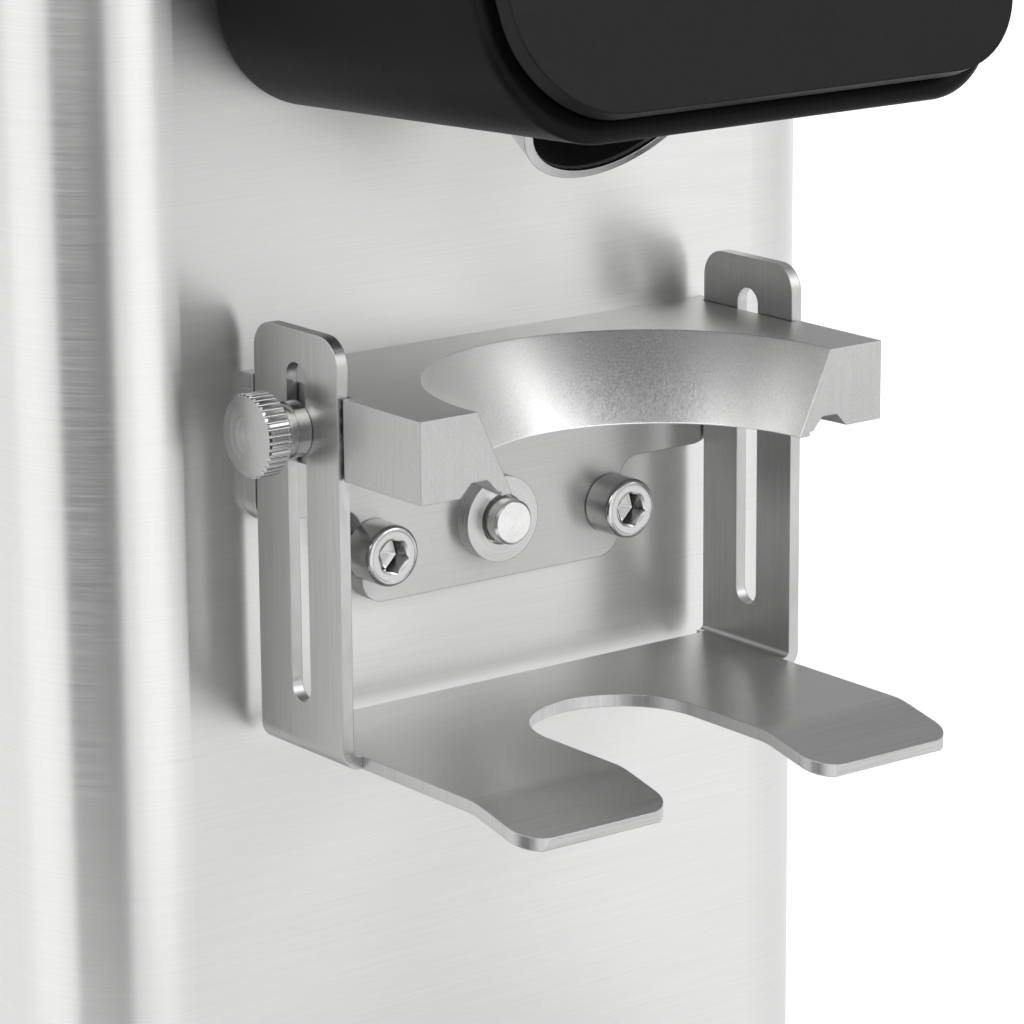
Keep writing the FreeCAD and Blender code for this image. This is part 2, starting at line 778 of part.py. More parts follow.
def holder_rest():
    top = pin_height + rest_top
    low = top - rest_thickness
    front = face - rest_reach
    arm_gap = arm_front + 0.5
    shoulders = block(-rest_half_width, rest_half_width, front, face - arm_gap, low, top)
    waist = block(-rest_waist, rest_waist, face - arm_gap, plate_front, low, top)
    cover = block(-mounting_upper_half, mounting_upper_half, plate_front, face, top - rest_lip_cover, top)
    cover_tie = block(-rest_waist, rest_waist, plate_front - 1.0, face, top - rest_lip_cover, top)
    centre = point(0, face - rest_bore_centre, 0)
    low_centre = point(0, centre.y - rest_bore_low_shift, 0)
    lip_low = low - rest_lip_drop
    lip = rod(rest_bore_low_radius + rest_lip_width, rest_lip_drop + 1.0, point(0, low_centre.y, lip_low))
    lip = lip.common(block(-60.0, 60.0, front, face, lip_low, top))
    body = join([shoulders, waist, cover, cover_tie, lip])
    slope = rest_thickness + rest_lip_drop
    per_height = (rest_bore_radius - rest_bore_low_radius) / slope
    shift = rest_bore_low_shift / slope
    past = 2.0
    upper = Part.Wire(Part.makeCircle(rest_bore_radius + per_height * past,
                                      point(0, centre.y + shift * past, top + past)))
    lower = Part.Wire(Part.makeCircle(rest_bore_low_radius - per_height * past,
                                      point(0, low_centre.y - shift * past, lip_low - past)))
    bore = Part.makeLoft([lower, upper], True, True)
    groove_top = low + rest_groove_depth
    groove = Part.makeCone(rest_groove_outer + 1.0, rest_groove_outer - 2.0, rest_groove_depth + 1.0,
                           point(0, low_centre.y, low - 1.0))
    core = Part.makeCone(rest_bore_low_radius + rest_lip_width, rest_groove_inner, groove_top - lip_low,
                         point(0, low_centre.y, lip_low))
    hole_depth = thumb_engagement + 2.0
    shank_holes = [rod(thumb_shank_radius + running_gap, hole_depth,
                       point(-fork_half_width, slot_y, thumb_z), X),
                   rod(thumb_shank_radius, hole_depth, point(fork_half_width, slot_y, thumb_z), X * -1.0)]
    screw_holes = [rod(rest_screw_size / 2.0 + running_gap, rest_screw_length + 0.5,
                       p - Y * (rest_screw_length + 0.5), Y) for p in rest_screw_places]
    return remove(body, [bore, groove.cut(core)] + shank_holes + screw_holes)


def thumb_screw():
    """The left thumb screw: its axis runs along X into the rest."""
    seat = -fork_half_width - rest_gap
    shank = rod(thumb_shank_radius, thumb_engagement + rest_gap, point(seat, slot_y, thumb_z), X)
    collar = rod(thumb_collar_radius, thumb_collar_length,
                 point(seat - thumb_collar_length, slot_y, thumb_z), X)
    groove = tube(thumb_collar_radius + 1.0, thumb_collar_radius - thumb_groove_depth, thumb_groove_width,
                  point(seat - 0.6 * thumb_collar_length, slot_y, thumb_z), X)
    outer = seat - thumb_collar_length - thumb_head_length
    head = rod(thumb_head_radius, thumb_head_length, point(outer, slot_y, thumb_z), X)
    head = head.makeChamfer(thumb_chamfer, head.Edges)
    flutes = []
    for i in range(thumb_knurls):
        turn = 2.0 * math.pi * i / thumb_knurls
        flutes.append(rod(thumb_flute_radius, thumb_head_length, point(outer,
                          slot_y + thumb_head_radius * math.cos(turn),
                          thumb_z + thumb_head_radius * math.sin(turn)), X))
    return join([remove(head, flutes), collar.cut(groove), shank])


def guide_screw():
    """The right arm's low-headed screw: its axis runs along -X into the rest."""
    seat = fork_half_width + rest_gap
    shank = rod(thumb_shank_radius, thumb_engagement + rest_gap, point(seat, slot_y, thumb_z), X * -1.0)
    head = rod(guide_head_radius, guide_head_length, point(seat, slot_y, thumb_z), X)
    crown = seat + guide_head_length
    head = head.makeFillet(guide_head_round, [e for e in head.Edges if e.BoundBox.XMin > crown - 0.01])
    socket = hexagon(guide_socket, guide_socket_depth, point(crown, slot_y, thumb_z), X * -1.0)
    return remove(join([head, shank]), [socket])


def plan_corner(x, y, radius):
    """What rounds off a prong's outer front corner at x, y on the right-hand side."""
    square = block(x - radius, x + 1.0, y - 1.0, y + radius, pin_height - 60.0, pin_height)
    return square.cut(rod(radius, 60.0, point(x - radius, y + radius, pin_height - 60.0)))


def fork_plate():
    """The plate between the arms and its two prongs, bent down at the tips."""
    top = pin_height + fork_plate_top
    angle = math.radians(prong_bend_angle)
    bend_y = face - prong_bend_reach
    outer = prong_bend_radius + sheet
    mid = angle / 2.0
    over = point(0, bend_y, top)
    centre_z = top - outer
    tip_run = (prong_reach - prong_bend_reach - outer * math.sin(angle)) / math.cos(angle)

    def arc_point(radius, turn):
        return point(-fork_plate_half, bend_y - radius * math.sin(turn), centre_z + radius * math.cos(turn))

    along = point(0, -math.cos(angle), -math.sin(angle)) * tip_run
    back_y = face - fork_plate_back
    a = point(-fork_plate_half, back_y, top)
    b = point(-fork_plate_half, over.y, top)
    c = arc_point(outer, angle)
    d = arc_point(prong_bend_radius, angle)
    e = point(-fork_plate_half, over.y, top - sheet)
    f = point(-fork_plate_half, back_y, top - sheet)
    edges = [Part.makeLine(a, b),
             Part.Arc(b, arc_point(outer, mid), c).toShape(),
             Part.makeLine(c, c + along),
             Part.makeLine(c + along, d + along),
             Part.makeLine(d + along, d),
             Part.Arc(d, arc_point(prong_bend_radius, mid), e).toShape(),
             Part.makeLine(e, f),
             Part.makeLine(f, a)]
    plate = Part.Face(Part.Wire(edges)).extrude(X * (2.0 * fork_plate_half))
    tip = face - prong_reach
    outer_corner = plan_corner(fork_plate_half, tip, prong_corner)
    inner_corner = mirrored(plan_corner(-spout_gap / 2.0, tip, prong_corner))
    corners = [outer_corner, mirrored(outer_corner), inner_corner, mirrored(inner_corner)]
    return remove(plate, corners)


def spout_way():
    """What the round-ended gap between the prongs takes away."""
    half_gap = spout_gap / 2.0
    tip = face - prong_reach
    gap_y = face - spout_gap_centre
    low = pin_height - 60.0
    return join([block(-half_gap, half_gap, tip - 5.0, gap_y, low, pin_height),
                 rod(half_gap, 60.0, point(0, gap_y, low))])


def fork_arms():
    """Two slotted arms joined below by the plate's width, folded from one sheet."""
    top = pin_height + arm_top
    low = pin_height + fork_plate_top - sheet
    front = face - arm_front
    rear = face - arm_back
    outer = block(-fork_half_width, fork_half_width, front, rear, low, top)
    outer_bends = [e for e in outer.Edges if abs(e.tangentAt(e.FirstParameter).y) > 0.9
                   and e.Vertexes[0].Point.z < low + 0.1]
    outer = outer.makeFillet(fork_bend_radius, outer_bends)
    inner = block(-fork_half_width + sheet, fork_half_width - sheet, front, rear, low + sheet, top)
    inner_bends = [e for e in inner.Edges if abs(e.tangentAt(e.FirstParameter).y) > 0.9
                   and e.Vertexes[0].Point.z < low + sheet + 0.1]
    inner = inner.makeFillet(fork_bend_radius - sheet, inner_bends)
    arms = outer.cut(inner)
    tips = [e for e in arms.Edges if abs(e.tangentAt(e.FirstParameter).x) > 0.9
            and e.Vertexes[0].Point.z > top - 0.1]
    arms = arms.makeFillet(arm_top_radius, tips)
    slots = slot(slot_width, pin_height + slot_low, pin_height + slot_high, slot_y,
                 -fork_half_width - 1.0, fork_half_width + 1.0)
    behind = block(-fork_plate_half, fork_plate_half, face - fork_plate_back, rear,
                   low - 1.0, low + sheet + 1.0)
    return remove(arms, [slots, behind])


def fork_bracket():
    return remove(join([fork_arms(), fork_plate()]), [spout_way()])


def pin_bushing():
    z = pin_height
    flange = rod(bushing_flange_radius, bushing_flange_thickness,
                 point(0, plate_front - bushing_flange_thickness, z), Y)
    barrel = rod(bushing_radius, bushing_length + mounting_plate_thickness, point(0, plate_front, z), Y)
    whole = bushing_length + mounting_plate_thickness + bushing_flange_thickness
    start = point(0, plate_front - bushing_flange_thickness, z)
    bore = rod(pin_radius + running_gap, whole, start, Y)
    relief = rod(pin_radius + 0.45, 1.2, start, Y)
    return remove(join([flange, barrel]), [bore, relief])


bracket_reach = bushing_length + rest_gap + pin_collar_length + spring_length + rest_gap


def bushing_nut():
    start = point(0, face + column_wall + bracket_thickness, pin_height)
    nut = hexagon(bushing_nut_flats, bushing_nut_length, start, Y)
    return remove(nut, [rod(bushing_radius + running_gap, bushing_nut_length, start, Y)])


def switch_bracket():
    inner = face + column_wall
    half = bracket_half
    low = pin_height - bracket_rise
    high = pin_height + bracket_rise
    foot_plate = block(-half, half, inner, inner + bracket_thickness, low, high)
    shelf = block(-half, half, inner, face + bracket_reach + bracket_thickness, low, low + bracket_thickness)
    stop = block(-half, half, face + bracket_reach, face + bracket_reach + bracket_thickness, low, high)
    holes = [rod(bushing_radius + running_gap, bracket_thickness, point(0, inner, pin_height), Y),
             rod(pin_tail_radius + 0.5, bracket_thickness, point(0, face + bracket_reach, pin_height), Y)]
    return remove(join([foot_plate, shelf, stop]), holes)


def switch_pin():
    z = pin_height
    front = plate_front - bushing_flange_thickness - pin_protrusion
    rear = face + bushing_length + rest_gap
    shank = rod(pin_radius, rear - front, point(0, front, z), Y)
    rim = [e for e in shank.Edges if abs(e.BoundBox.YMax - front) < 0.01]
    shank = shank.makeChamfer(0.4, rim)
    collar = rod(pin_collar_radius, pin_collar_length, point(0, rear, z), Y)
    tail_end = face + bracket_reach + bracket_thickness + pin_tail_reach
    tail = rod(pin_tail_radius, tail_end - rear, point(0, rear, z), Y)
    return join([shank, collar, tail])


def pin_spring():
    start = face + bushing_length + rest_gap + pin_collar_length
    return tube(pin_collar_radius - 0.4, pin_collar_radius - 1.6, face + bracket_reach - start,
                point(0, start, pin_height), Y)


def micro_switch():
    start = face + bracket_reach + bracket_thickness
    body = block(-switch_half, switch_half, start, start + switch_length,
                 pin_height - switch_rise, pin_height + switch_rise)
    well = rod(pin_tail_radius + 0.6, pin_tail_reach + pin_travel + switch_gap,
               point(0, start, pin_height), Y)
    return remove(body, [well])


# ---- mill ---------------------------------------------------------------------------------
def chassis_plate():
    half = column_width / 2.0 - column_wall
    near = face + column_corner + 2.0
    far = back - column_corner - 2.0
    flat = block(-half, half, near, far, chassis_height, chassis_top)
    flanges = [block(-half, -half + 3.0, near, far, chassis_height - 20.0, chassis_height),
               block(half - 3.0, half, near, far, chassis_height - 20.0, chassis_height)]
    shaft_way = rod(bearing_radius + bearing_clear, chassis_thickness, point(0, mill, chassis_height))
    chute_way = chute_rod(chute_radius + slide_gap, 0.0, chute_length + 2.0)
    return remove(join([flat] + flanges), [shaft_way, chute_way])


def motor_housing():
    shell = rod(motor_radius, motor_length, point(0, mill, motor_bottom))
    cavity = rod(motor_radius - motor_wall, motor_length - motor_floor - motor_roof,
                 point(0, mill, motor_bottom + motor_floor))
    seat = rod(bearing_radius, bearing_seat, point(0, mill, motor_bottom + 2.0))
    low_hole = rod(shaft_radius + 2.0, 2.0, point(0, mill, motor_bottom))
    top_hole = rod(bearing_radius + bearing_clear, motor_roof, point(0, mill, chassis_height - motor_roof))
    return remove(shell, [cavity, seat, low_hole, top_hole])


def motor_stator():
    start = point(0, mill, motor_bottom + stator_lift)
    return tube(motor_radius - motor_wall, stator_inner_radius, stator_length, start)


def motor_rotor():
    start = point(0, mill, motor_bottom + stator_lift + rotor_inset)
    return tube(stator_inner_radius - rotor_gap, shaft_radius, stator_length - 2.0 * rotor_inset, start)


def motor_shaft():
    top = lower_burr_bottom + shaft_nut_height
    return rod(shaft_radius, top - motor_bottom - 1.0, point(0, mill, motor_bottom + 1.0))


def bearing(bottom):
    return tube(bearing_radius, shaft_radius + running_gap, bearing_width, point(0, mill, bottom))


def burr_chamber():
    body = rod(chamber_radius, chamber_height, point(0, mill, chassis_top))
    bore = rod(chamber_bore, chamber_height - chamber_floor, point(0, mill, chassis_top + chamber_floor))
    seat = rod(bearing_radius, bearing_seat, point(0, mill, chassis_top))
    shaft_hole = rod(bearing_radius - 4.0, chamber_floor, point(0, mill, chassis_top))
    boss = chute_rod(chute_radius + 4.0, 0.0, 130.0)
    boss = boss.common(block(-40.0, 40.0, face + 8.0, mill, chassis_top, chamber_top))
    boss = boss.cut(rod(chamber_radius - 2.0, chamber_height, point(0, mill, chassis_top)))
    chute_seat = chute_rod(chute_radius, 0.0, 200.0)
    half_room = block(-60.0, 60.0, face, mill, chassis_top, chamber_top)
    outlet = chute_seat.common(half_room)
    floor_disc = rod(chamber_bore, chamber_floor, point(0, mill, chassis_top))
    return remove(join([body, boss]), [bore, seat, shaft_hole, outlet.cut(floor_disc)])


def lower_carrier():
    disc = tube(carrier_radius, shaft_radius, carrier_thickness, point(0, mill, carrier_bottom))
    wing = block(carrier_radius - 2.0, chamber_bore - 1.0, mill - 3.0, mill + 3.0,
                 carrier_bottom, carrier_bottom + carrier_thickness - 1.0)
    wings = []
    for i in range(4):
        turned = wing.copy()
        turned.rotate(point(0, mill, 0), Z, 90.0 * i)
        wings.append(turned)
    return join([disc] + wings)


def burr(bottom, slots_at):
    """A flat burr with a ring of radial cutting grooves on one side."""
    ring = tube(burr_radius, burr_bore, burr_thickness, point(0, mill, bottom))
    grooves = []
    for i in range(burr_grooves):
        groove = block(burr_bore + 1.0, burr_radius - burr_land, mill - 1.0, mill + 1.0,
                       slots_at - 1.0, slots_at + 1.0)
        groove.rotate(point(0, mill, 0), Z, 360.0 / burr_grooves * i)
        grooves.append(groove)
    return remove(ring, grooves)


def shaft_nut():
    start = point(0, mill, lower_burr_bottom)
    nut = hexagon(shaft_nut_flats, shaft_nut_height, start, Z)
    return remove(nut, [rod(shaft_radius, shaft_nut_height, start)])


def upper_carrier():
    bottom = upper_carrier_bottom
    neck_floor = bottom + carrier_web
    seat = rod(chamber_bore - running_gap, chamber_top - bottom, point(0, mill, bottom))
    neck = rod(neck_radius, ring_top - chamber_top, point(0, mill, chamber_top))
    bean_hole = rod(burr_bore, carrier_web, point(0, mill, bottom))
    neck_hole = rod(neck_bore, ring_top - neck_floor, point(0, mill, neck_floor))
    return remove(join([seat, neck]), [bean_hole, neck_hole])


def adjust_ring():
    ring = tube(ring_radius, neck_radius, ring_height, point(0, mill, ring_bottom))
    grips = []
    for i in range(ring_grips):
        turn = 2.0 * math.pi * i / ring_grips
        place = point(ring_radius * math.cos(turn), mill + ring_radius * math.sin(turn), ring_bottom)
        grips.append(rod(ring_grip_radius, ring_height - ring_grip_stop, place))
    return remove(ring, grips)


# ---- hopper -------------------------------------------------------------------------------
gate_floor = ring_top + gate_lift


def bean_hopper():
    outer = neck_bore - rest_gap
    throat = outer - hopper_wall
    spigot_low = ring_top - hopper_spigot
    spigot = rod(outer, hopper_spigot, point(0, mill, spigot_low))
    base = rod(hopper_base_radius, hopper_throat_height, point(0, mill, ring_top))
    cone = Part.makeCone(hopper_base_radius, hopper_radius, hopper_cone_height, point(0, mill, throat_top))
    bowl = Part.makeCone(hopper_radius, hopper_top_radius, hopper_height, point(0, mill, cone_top))
    way = rod(throat, hopper_spigot + hopper_throat_height, point(0, mill, spigot_low))
    cone_room = Part.makeCone(throat, hopper_radius - hopper_wall, hopper_cone_height,
                              point(0, mill, throat_top))
    bowl_room = Part.makeCone(hopper_radius - hopper_wall, hopper_top_radius - hopper_wall, hopper_height,
                              point(0, mill, cone_top))
    gate_way = block(-hopper_base_radius - 1.0, gate_half_width + slide_gap,
                     mill - gate_half_width - slide_gap, mill + gate_half_width + slide_gap,
                     gate_floor - rest_gap, gate_floor + gate_thickness + rest_gap)
    return remove(join([spigot, base, cone, bowl]), [way, cone_room, bowl_room, gate_way])


def hopper_gate():
    grip_x = -hopper_base_radius - gate_stem
    blade = block(grip_x, gate_half_width, mill - gate_half_width, mill + gate_half_width,
                  gate_floor, gate_floor + gate_thickness)
    grip = block(grip_x - gate_grip_depth, grip_x, mill - gate_grip_half, mill + gate_grip_half,
                 gate_floor - gate_grip_rise, gate_floor + gate_thickness + gate_grip_rise)
    return join([blade, grip])


def hopper_lid():
    bottom = hopper_top + rest_gap
    disc = rod(lid_radius, lid_thickness, point(0, mill, bottom))
    skirt_radius = hopper_top_radius - hopper_wall - lid_skirt_gap
    skirt = tube(skirt_radius, skirt_radius - lid_skirt_wall, lid_skirt, point(0, mill, bottom - lid_skirt))
    knob = rod(lid_knob_radius, lid_knob_height, point(0, mill, bottom + lid_thickness))
    top_edges = [e for e in knob.Edges if abs(e.BoundBox.ZMin - knob.BoundBox.ZMax) < 0.01]
    return join([disc, skirt, knob.makeFillet(lid_knob_round, top_edges)])


# ---- electrics ----------------------------------------------------------------------------
side_wall = column_width / 2.0
rocker_x = side_wall - rocker_sink
rocker_y = face + switch_reach


def power_switch_frame():
    along = switch_frame_half
    rise = switch_frame_rise
    body = block(rocker_x - along, side_wall, rocker_y - along, rocker_y + along,
                 switch_height - rise, switch_height + rise)
    along += switch_flange
    rise += switch_flange
    flange = block(side_wall, side_wall + switch_flange, rocker_y - along, rocker_y + along,
                   switch_height - rise, switch_height + rise)
    half = rocker_height / 2.0 + slide_gap
    well = rod(rocker_radius + slide_gap, 2.0 * half, point(rocker_x, rocker_y, switch_height - half))
    reach = rocker_radius + slide_gap
    mouth = block(rocker_x, side_wall + switch_flange, rocker_y - reach, rocker_y + reach,
                  switch_height - half, switch_height + half)
    return remove(join([body, flange]), [well, mouth])


def power_rocker():
    low = switch_height - rocker_height / 2.0
    disc = rod(rocker_radius, rocker_height, point(rocker_x, rocker_y, low))
    valley = side_wall + rocker_valley
    crest = side_wall + rocker_crest
    past = crest + rocker_radius
    near = rocker_y - switch_frame_half
    far = rocker_y + switch_frame_half
    above = extruded([point(valley, rocker_y, low), point(crest, near, low), point(past, near, low),
                      point(past, far, low), point(crest, far, low)], Z * rocker_height)
    return remove(disc, [above])


def capacitor():
    place = point(capacitor_side, back - capacitor_in, base_top)
    return rod(capacitor_radius, capacitor_height, place)


# ---- write every node ---------------------------------------------------------------------
save("base_housing", base_housing())
save("base_plate", base_plate())
for corner, (foot_x, foot_y) in foot_places.items():
    save("foot_" + corner, foot(foot_x, foot_y))
save("foot_screws", foot_screws())
save("grounds_tray", grounds_tray())
save("cable_inlet", cable_inlet())
save("column_shell", column_shell())
save("column_screws", column_screws())
save("rear_cover", rear_cover())
save("rear_cover_screws", rear_cover_screws())
save("top_cover", top_cover())
save("head_housing", head_housing())
save("front_panel", front_panel())
save("display_window", display_window())
save("control_board", control_board())
for side_name, side_x in (("left", -button_pitch), ("middle", 0.0), ("right", button_pitch)):
    save("button_" + side_name, button(side_x))
save("outlet_chute", outlet_chute())
save("mounting_plate", mounting_plate())
save("rest_screws", rest_screws())
save("mounting_screws", mounting_screws())
save("rivet_nuts", rivet_nuts())
save("holder_rest", holder_rest())
save("thumb_screw", thumb_screw())
save("guide_screw", guide_screw())
save("fork_bracket", fork_bracket())
save("pin_bushing", pin_bushing())
save("bushing_nut", bushing_nut())
save("switch_bracket", switch_bracket())
save("switch_pin", switch_pin())
save("pin_spring", pin_spring())
save("micro_switch", micro_switch())
save("chassis_plate", chassis_plate())
save("motor_housing", motor_housing())
save("motor_stator", motor_stator())
save("motor_rotor", motor_rotor())
save("motor_shaft", motor_shaft())
save("bearing_lower", bearing(motor_bottom + 2.0))
save("bearing_upper", bearing(chassis_top - (bearing_width - bearing_seat)))
save("burr_chamber", burr_chamber())
save("lower_carrier", lower_carrier())
save("lower_burr", burr(lower_burr_bottom, lower_burr_bottom + burr_thickness))
save("shaft_nut", shaft_nut())
save("upper_burr", burr(upper_burr_bottom, upper_burr_bottom))
save("upper_carrier", upper_carrier())
save("adjust_ring", adjust_ring())
save("bean_hopper", bean_hopper())
save("hopper_gate", hopper_gate())
save("hopper_lid", hopper_lid())
save("power_switch_frame", power_switch_frame())
save("power_rocker", power_rocker())
save("capacitor", capacitor())
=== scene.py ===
import math

import bmesh
import bpy
from mathutils import Matrix, Vector


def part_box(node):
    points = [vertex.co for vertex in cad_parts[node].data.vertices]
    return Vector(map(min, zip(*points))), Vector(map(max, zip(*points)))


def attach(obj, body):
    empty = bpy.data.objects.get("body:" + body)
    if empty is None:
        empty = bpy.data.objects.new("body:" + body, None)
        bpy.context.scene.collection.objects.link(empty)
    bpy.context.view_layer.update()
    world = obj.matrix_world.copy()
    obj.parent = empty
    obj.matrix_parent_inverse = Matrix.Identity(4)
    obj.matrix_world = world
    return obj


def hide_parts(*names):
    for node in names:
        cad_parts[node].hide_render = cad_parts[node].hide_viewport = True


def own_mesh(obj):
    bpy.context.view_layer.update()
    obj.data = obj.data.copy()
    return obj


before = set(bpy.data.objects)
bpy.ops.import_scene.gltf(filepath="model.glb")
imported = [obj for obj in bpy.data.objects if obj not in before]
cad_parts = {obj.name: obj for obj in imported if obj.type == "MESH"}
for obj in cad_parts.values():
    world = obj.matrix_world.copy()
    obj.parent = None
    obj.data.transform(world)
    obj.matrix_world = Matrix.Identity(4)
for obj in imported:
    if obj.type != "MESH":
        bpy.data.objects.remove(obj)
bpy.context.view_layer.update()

# An on-demand coffee grinder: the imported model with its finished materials, the socket
# screws and the pin spring in full detail, a pale floor, soft light and the camera.

MM = 0.001


# ---- places taken from the frame ----------------------------------------------------------
def low(node):
    return Vector(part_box(node)[0])


def high(node):
    return Vector(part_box(node)[1])


def middle(node):
    return (low(node) + high(node)) / 2.0


pin = middle("switch_pin")
face_y = high("mounting_plate").y
plate_y = low("mounting_plate").y
mill = middle("motor_housing")


# ---- node material kit --------------------------------------------------------------------
NOISE_LOW = 0.3               # a noise pattern seldom goes below this
NOISE_HIGH = 0.7              # or above this
WARM_WHITE = (1.0, 0.998, 0.992)


class Graph:
    """A material's node tree with short calls for the nodes used here."""

    def __init__(self, name):
        self.material = bpy.data.materials.new(name)
        self.material.use_nodes = True
        self.tree = self.material.node_tree
        self.tree.nodes.clear()
        self.out = self.tree.nodes.new("ShaderNodeOutputMaterial")
        self.shader = self.tree.nodes.new("ShaderNodeBsdfPrincipled")
        self.tree.links.new(self.shader.outputs[0], self.out.inputs[0])
        self.coords = self.tree.nodes.new("ShaderNodeTexCoord")

    def put(self, socket, value):
        if isinstance(value, bpy.types.NodeSocket):
            self.tree.links.new(value, socket)
        else:
            socket.default_value = value

    def set(self, name, value):
        self.put(self.shader.inputs[name], value)

    def place(self, scale=(1.0, 1.0, 1.0)):
        """Places on the piece in metres, drawn out or drawn in along each axis."""
        node = self.tree.nodes.new("ShaderNodeMapping")
        self.put(node.inputs["Vector"], self.coords.outputs["Object"])
        node.inputs["Scale"].default_value = scale
        return node.outputs[0]

    def noise(self, vector, scale=1.0, detail=2.0, rough=0.5):
        node = self.tree.nodes.new("ShaderNodeTexNoise")
        self.put(node.inputs["Vector"], vector)
        node.inputs["Scale"].default_value = scale
        node.inputs["Detail"].default_value = detail
        node.inputs["Roughness"].default_value = rough
        return node.outputs["Fac"]

    def cells(self, vector, scale):
        """How far a place is from the edges of a pattern of cells."""
        node = self.tree.nodes.new("ShaderNodeTexVoronoi")
        node.feature = "DISTANCE_TO_EDGE"
        self.put(node.inputs["Vector"], vector)
        node.inputs["Scale"].default_value = scale
        return node.outputs["Distance"]

    def math(self, operation, a, b=0.0, c=0.0, clamp=False):
        node = self.tree.nodes.new("ShaderNodeMath")
        node.operation = operation
        node.use_clamp = clamp
        for socket, value in zip(node.inputs, (a, b, c)):
            self.put(socket, value)
        return node.outputs[0]

    def vector(self, operation, a, b=(0.0, 0.0, 0.0)):
        node = self.tree.nodes.new("ShaderNodeVectorMath")
        node.operation = operation
        self.put(node.inputs[0], a)
        self.put(node.inputs[1], b)
        return node.outputs["Value" if operation in ("LENGTH", "DOT_PRODUCT") else "Vector"]

    def parts(self, vector):
        node = self.tree.nodes.new("ShaderNodeSeparateXYZ")
        self.put(node.inputs[0], vector)
        return node.outputs

    def ramp(self, value, from_low, from_high, to_low, to_high):
        node = self.tree.nodes.new("ShaderNodeMapRange")
        for name, number in (("Value", value), ("From Min", from_low), ("From Max", from_high),
                             ("To Min", to_low), ("To Max", to_high)):
            self.put(node.inputs[name], number)
        return node.outputs[0]

    def vary(self, pattern, to_low, to_high):
        """The useful middle of a noise pattern, spread between two values."""
        return self.ramp(pattern, NOISE_LOW, NOISE_HIGH, to_low, to_high)

    def mix(self, factor, a, b):
        node = self.tree.nodes.new("ShaderNodeMix")
        node.data_type = "RGBA"
        self.put(node.inputs["Factor"], factor)
        for socket, value in ((node.inputs[6], a), (node.inputs[7], b)):
            self.put(socket, rgb(value))
        return node.outputs[2]

    def blend(self, factor, a, b):
        node = self.tree.nodes.new("ShaderNodeMix")
        node.data_type = "FLOAT"
        self.put(node.inputs[0], factor)
        self.put(node.inputs[2], a)
        self.put(node.inputs[3], b)
        return node.outputs[0]

    def bump(self, height, strength, distance, edge=0.0):
        node = self.tree.nodes.new("ShaderNodeBump")
        node.inputs["Strength"].default_value = strength
        node.inputs["Distance"].default_value = distance
        self.put(node.inputs["Height"], height)
        if edge:
            self.tree.links.new(self.round_edge(edge), node.inputs["Normal"])
        self.set("Normal", node.outputs[0])

    def round_edge(self, radius):
        node = self.tree.nodes.new("ShaderNodeBevel")
        node.samples = 6
        node.inputs["Radius"].default_value = radius
        return node.outputs[0]


def rgb(value):
    if isinstance(value, bpy.types.NodeSocket):
        return value
    if isinstance(value, (int, float)):
        return (value, value, value, 1.0)
    return (value[0], value[1], value[2], 1.0)


# ---- metals -------------------------------------------------------------------------------
FINE = 7500.0                 # brushing lines per metre across the grain
LONG = 60.0                   # brushing variation per metre along the grain
CLOUDINESS = 0.012            # slow change of tone over a sheet
WIDE_SHARE = 0.25             # how strongly the wide bands show beside the fine lines
BRUSH_HEIGHT = 0.008 * MM
BRUSH_STRETCH = 0.8           # how far highlights are drawn out on brushed sheet
LATHE_HEIGHT = 0.01 * MM
LATHE_STRETCH = 0.7


def grain(g, direction):
    """Brushing lines that run along one direction, or along two for a folded sheet."""
    scale = [LONG if axis in direction else FINE for axis in "xyz"]
    coarse = [LONG * 0.6 if axis in direction else FINE * 0.3 for axis in "xyz"]
    fine = g.noise(g.place(scale), detail=3.0, rough=0.6)
    wide = g.noise(g.place(coarse), detail=2.0, rough=0.5)
    return fine, wide


def brushed(name, tone, rough, direction, edge=0.25, depth=0.3, spread=0.03, stretch=None):
    """Brushed sheet: lines in colour, roughness and height, with slow cloudy variation.
    Highlights are drawn out across the lines, along stretch."""
    g = Graph(name)
    fine, wide = grain(g, direction)
    clouds = g.noise(g.place((9.0, 9.0, 9.0)), detail=3.0, rough=0.5)
    shade = g.math("ADD", g.vary(fine, -spread, spread),
                   g.vary(wide, -spread * WIDE_SHARE, spread * WIDE_SHARE))
    shade = g.math("ADD", shade, g.vary(clouds, -CLOUDINESS, CLOUDINESS))
    value = g.math("ADD", shade, tone, clamp=True)
    g.set("Base Color", g.mix(value, 0.0, WARM_WHITE))
    g.set("Metallic", 1.0)
    g.set("Roughness", g.math("ADD", g.ramp(fine, 0.25, 0.75, -0.04, 0.05), rough, clamp=True))
    if stretch is not None:
        node = g.tree.nodes.new("ShaderNodeCombineXYZ")
        for socket, value in zip(node.inputs, stretch):
            socket.default_value = value
        g.set("Anisotropic", BRUSH_STRETCH)
        g.set("Tangent", node.outputs[0])
    g.bump(g.math("ADD", fine, g.math("MULTIPLY", wide, 0.1)), strength=depth, distance=BRUSH_HEIGHT, edge=edge * MM)
    return g


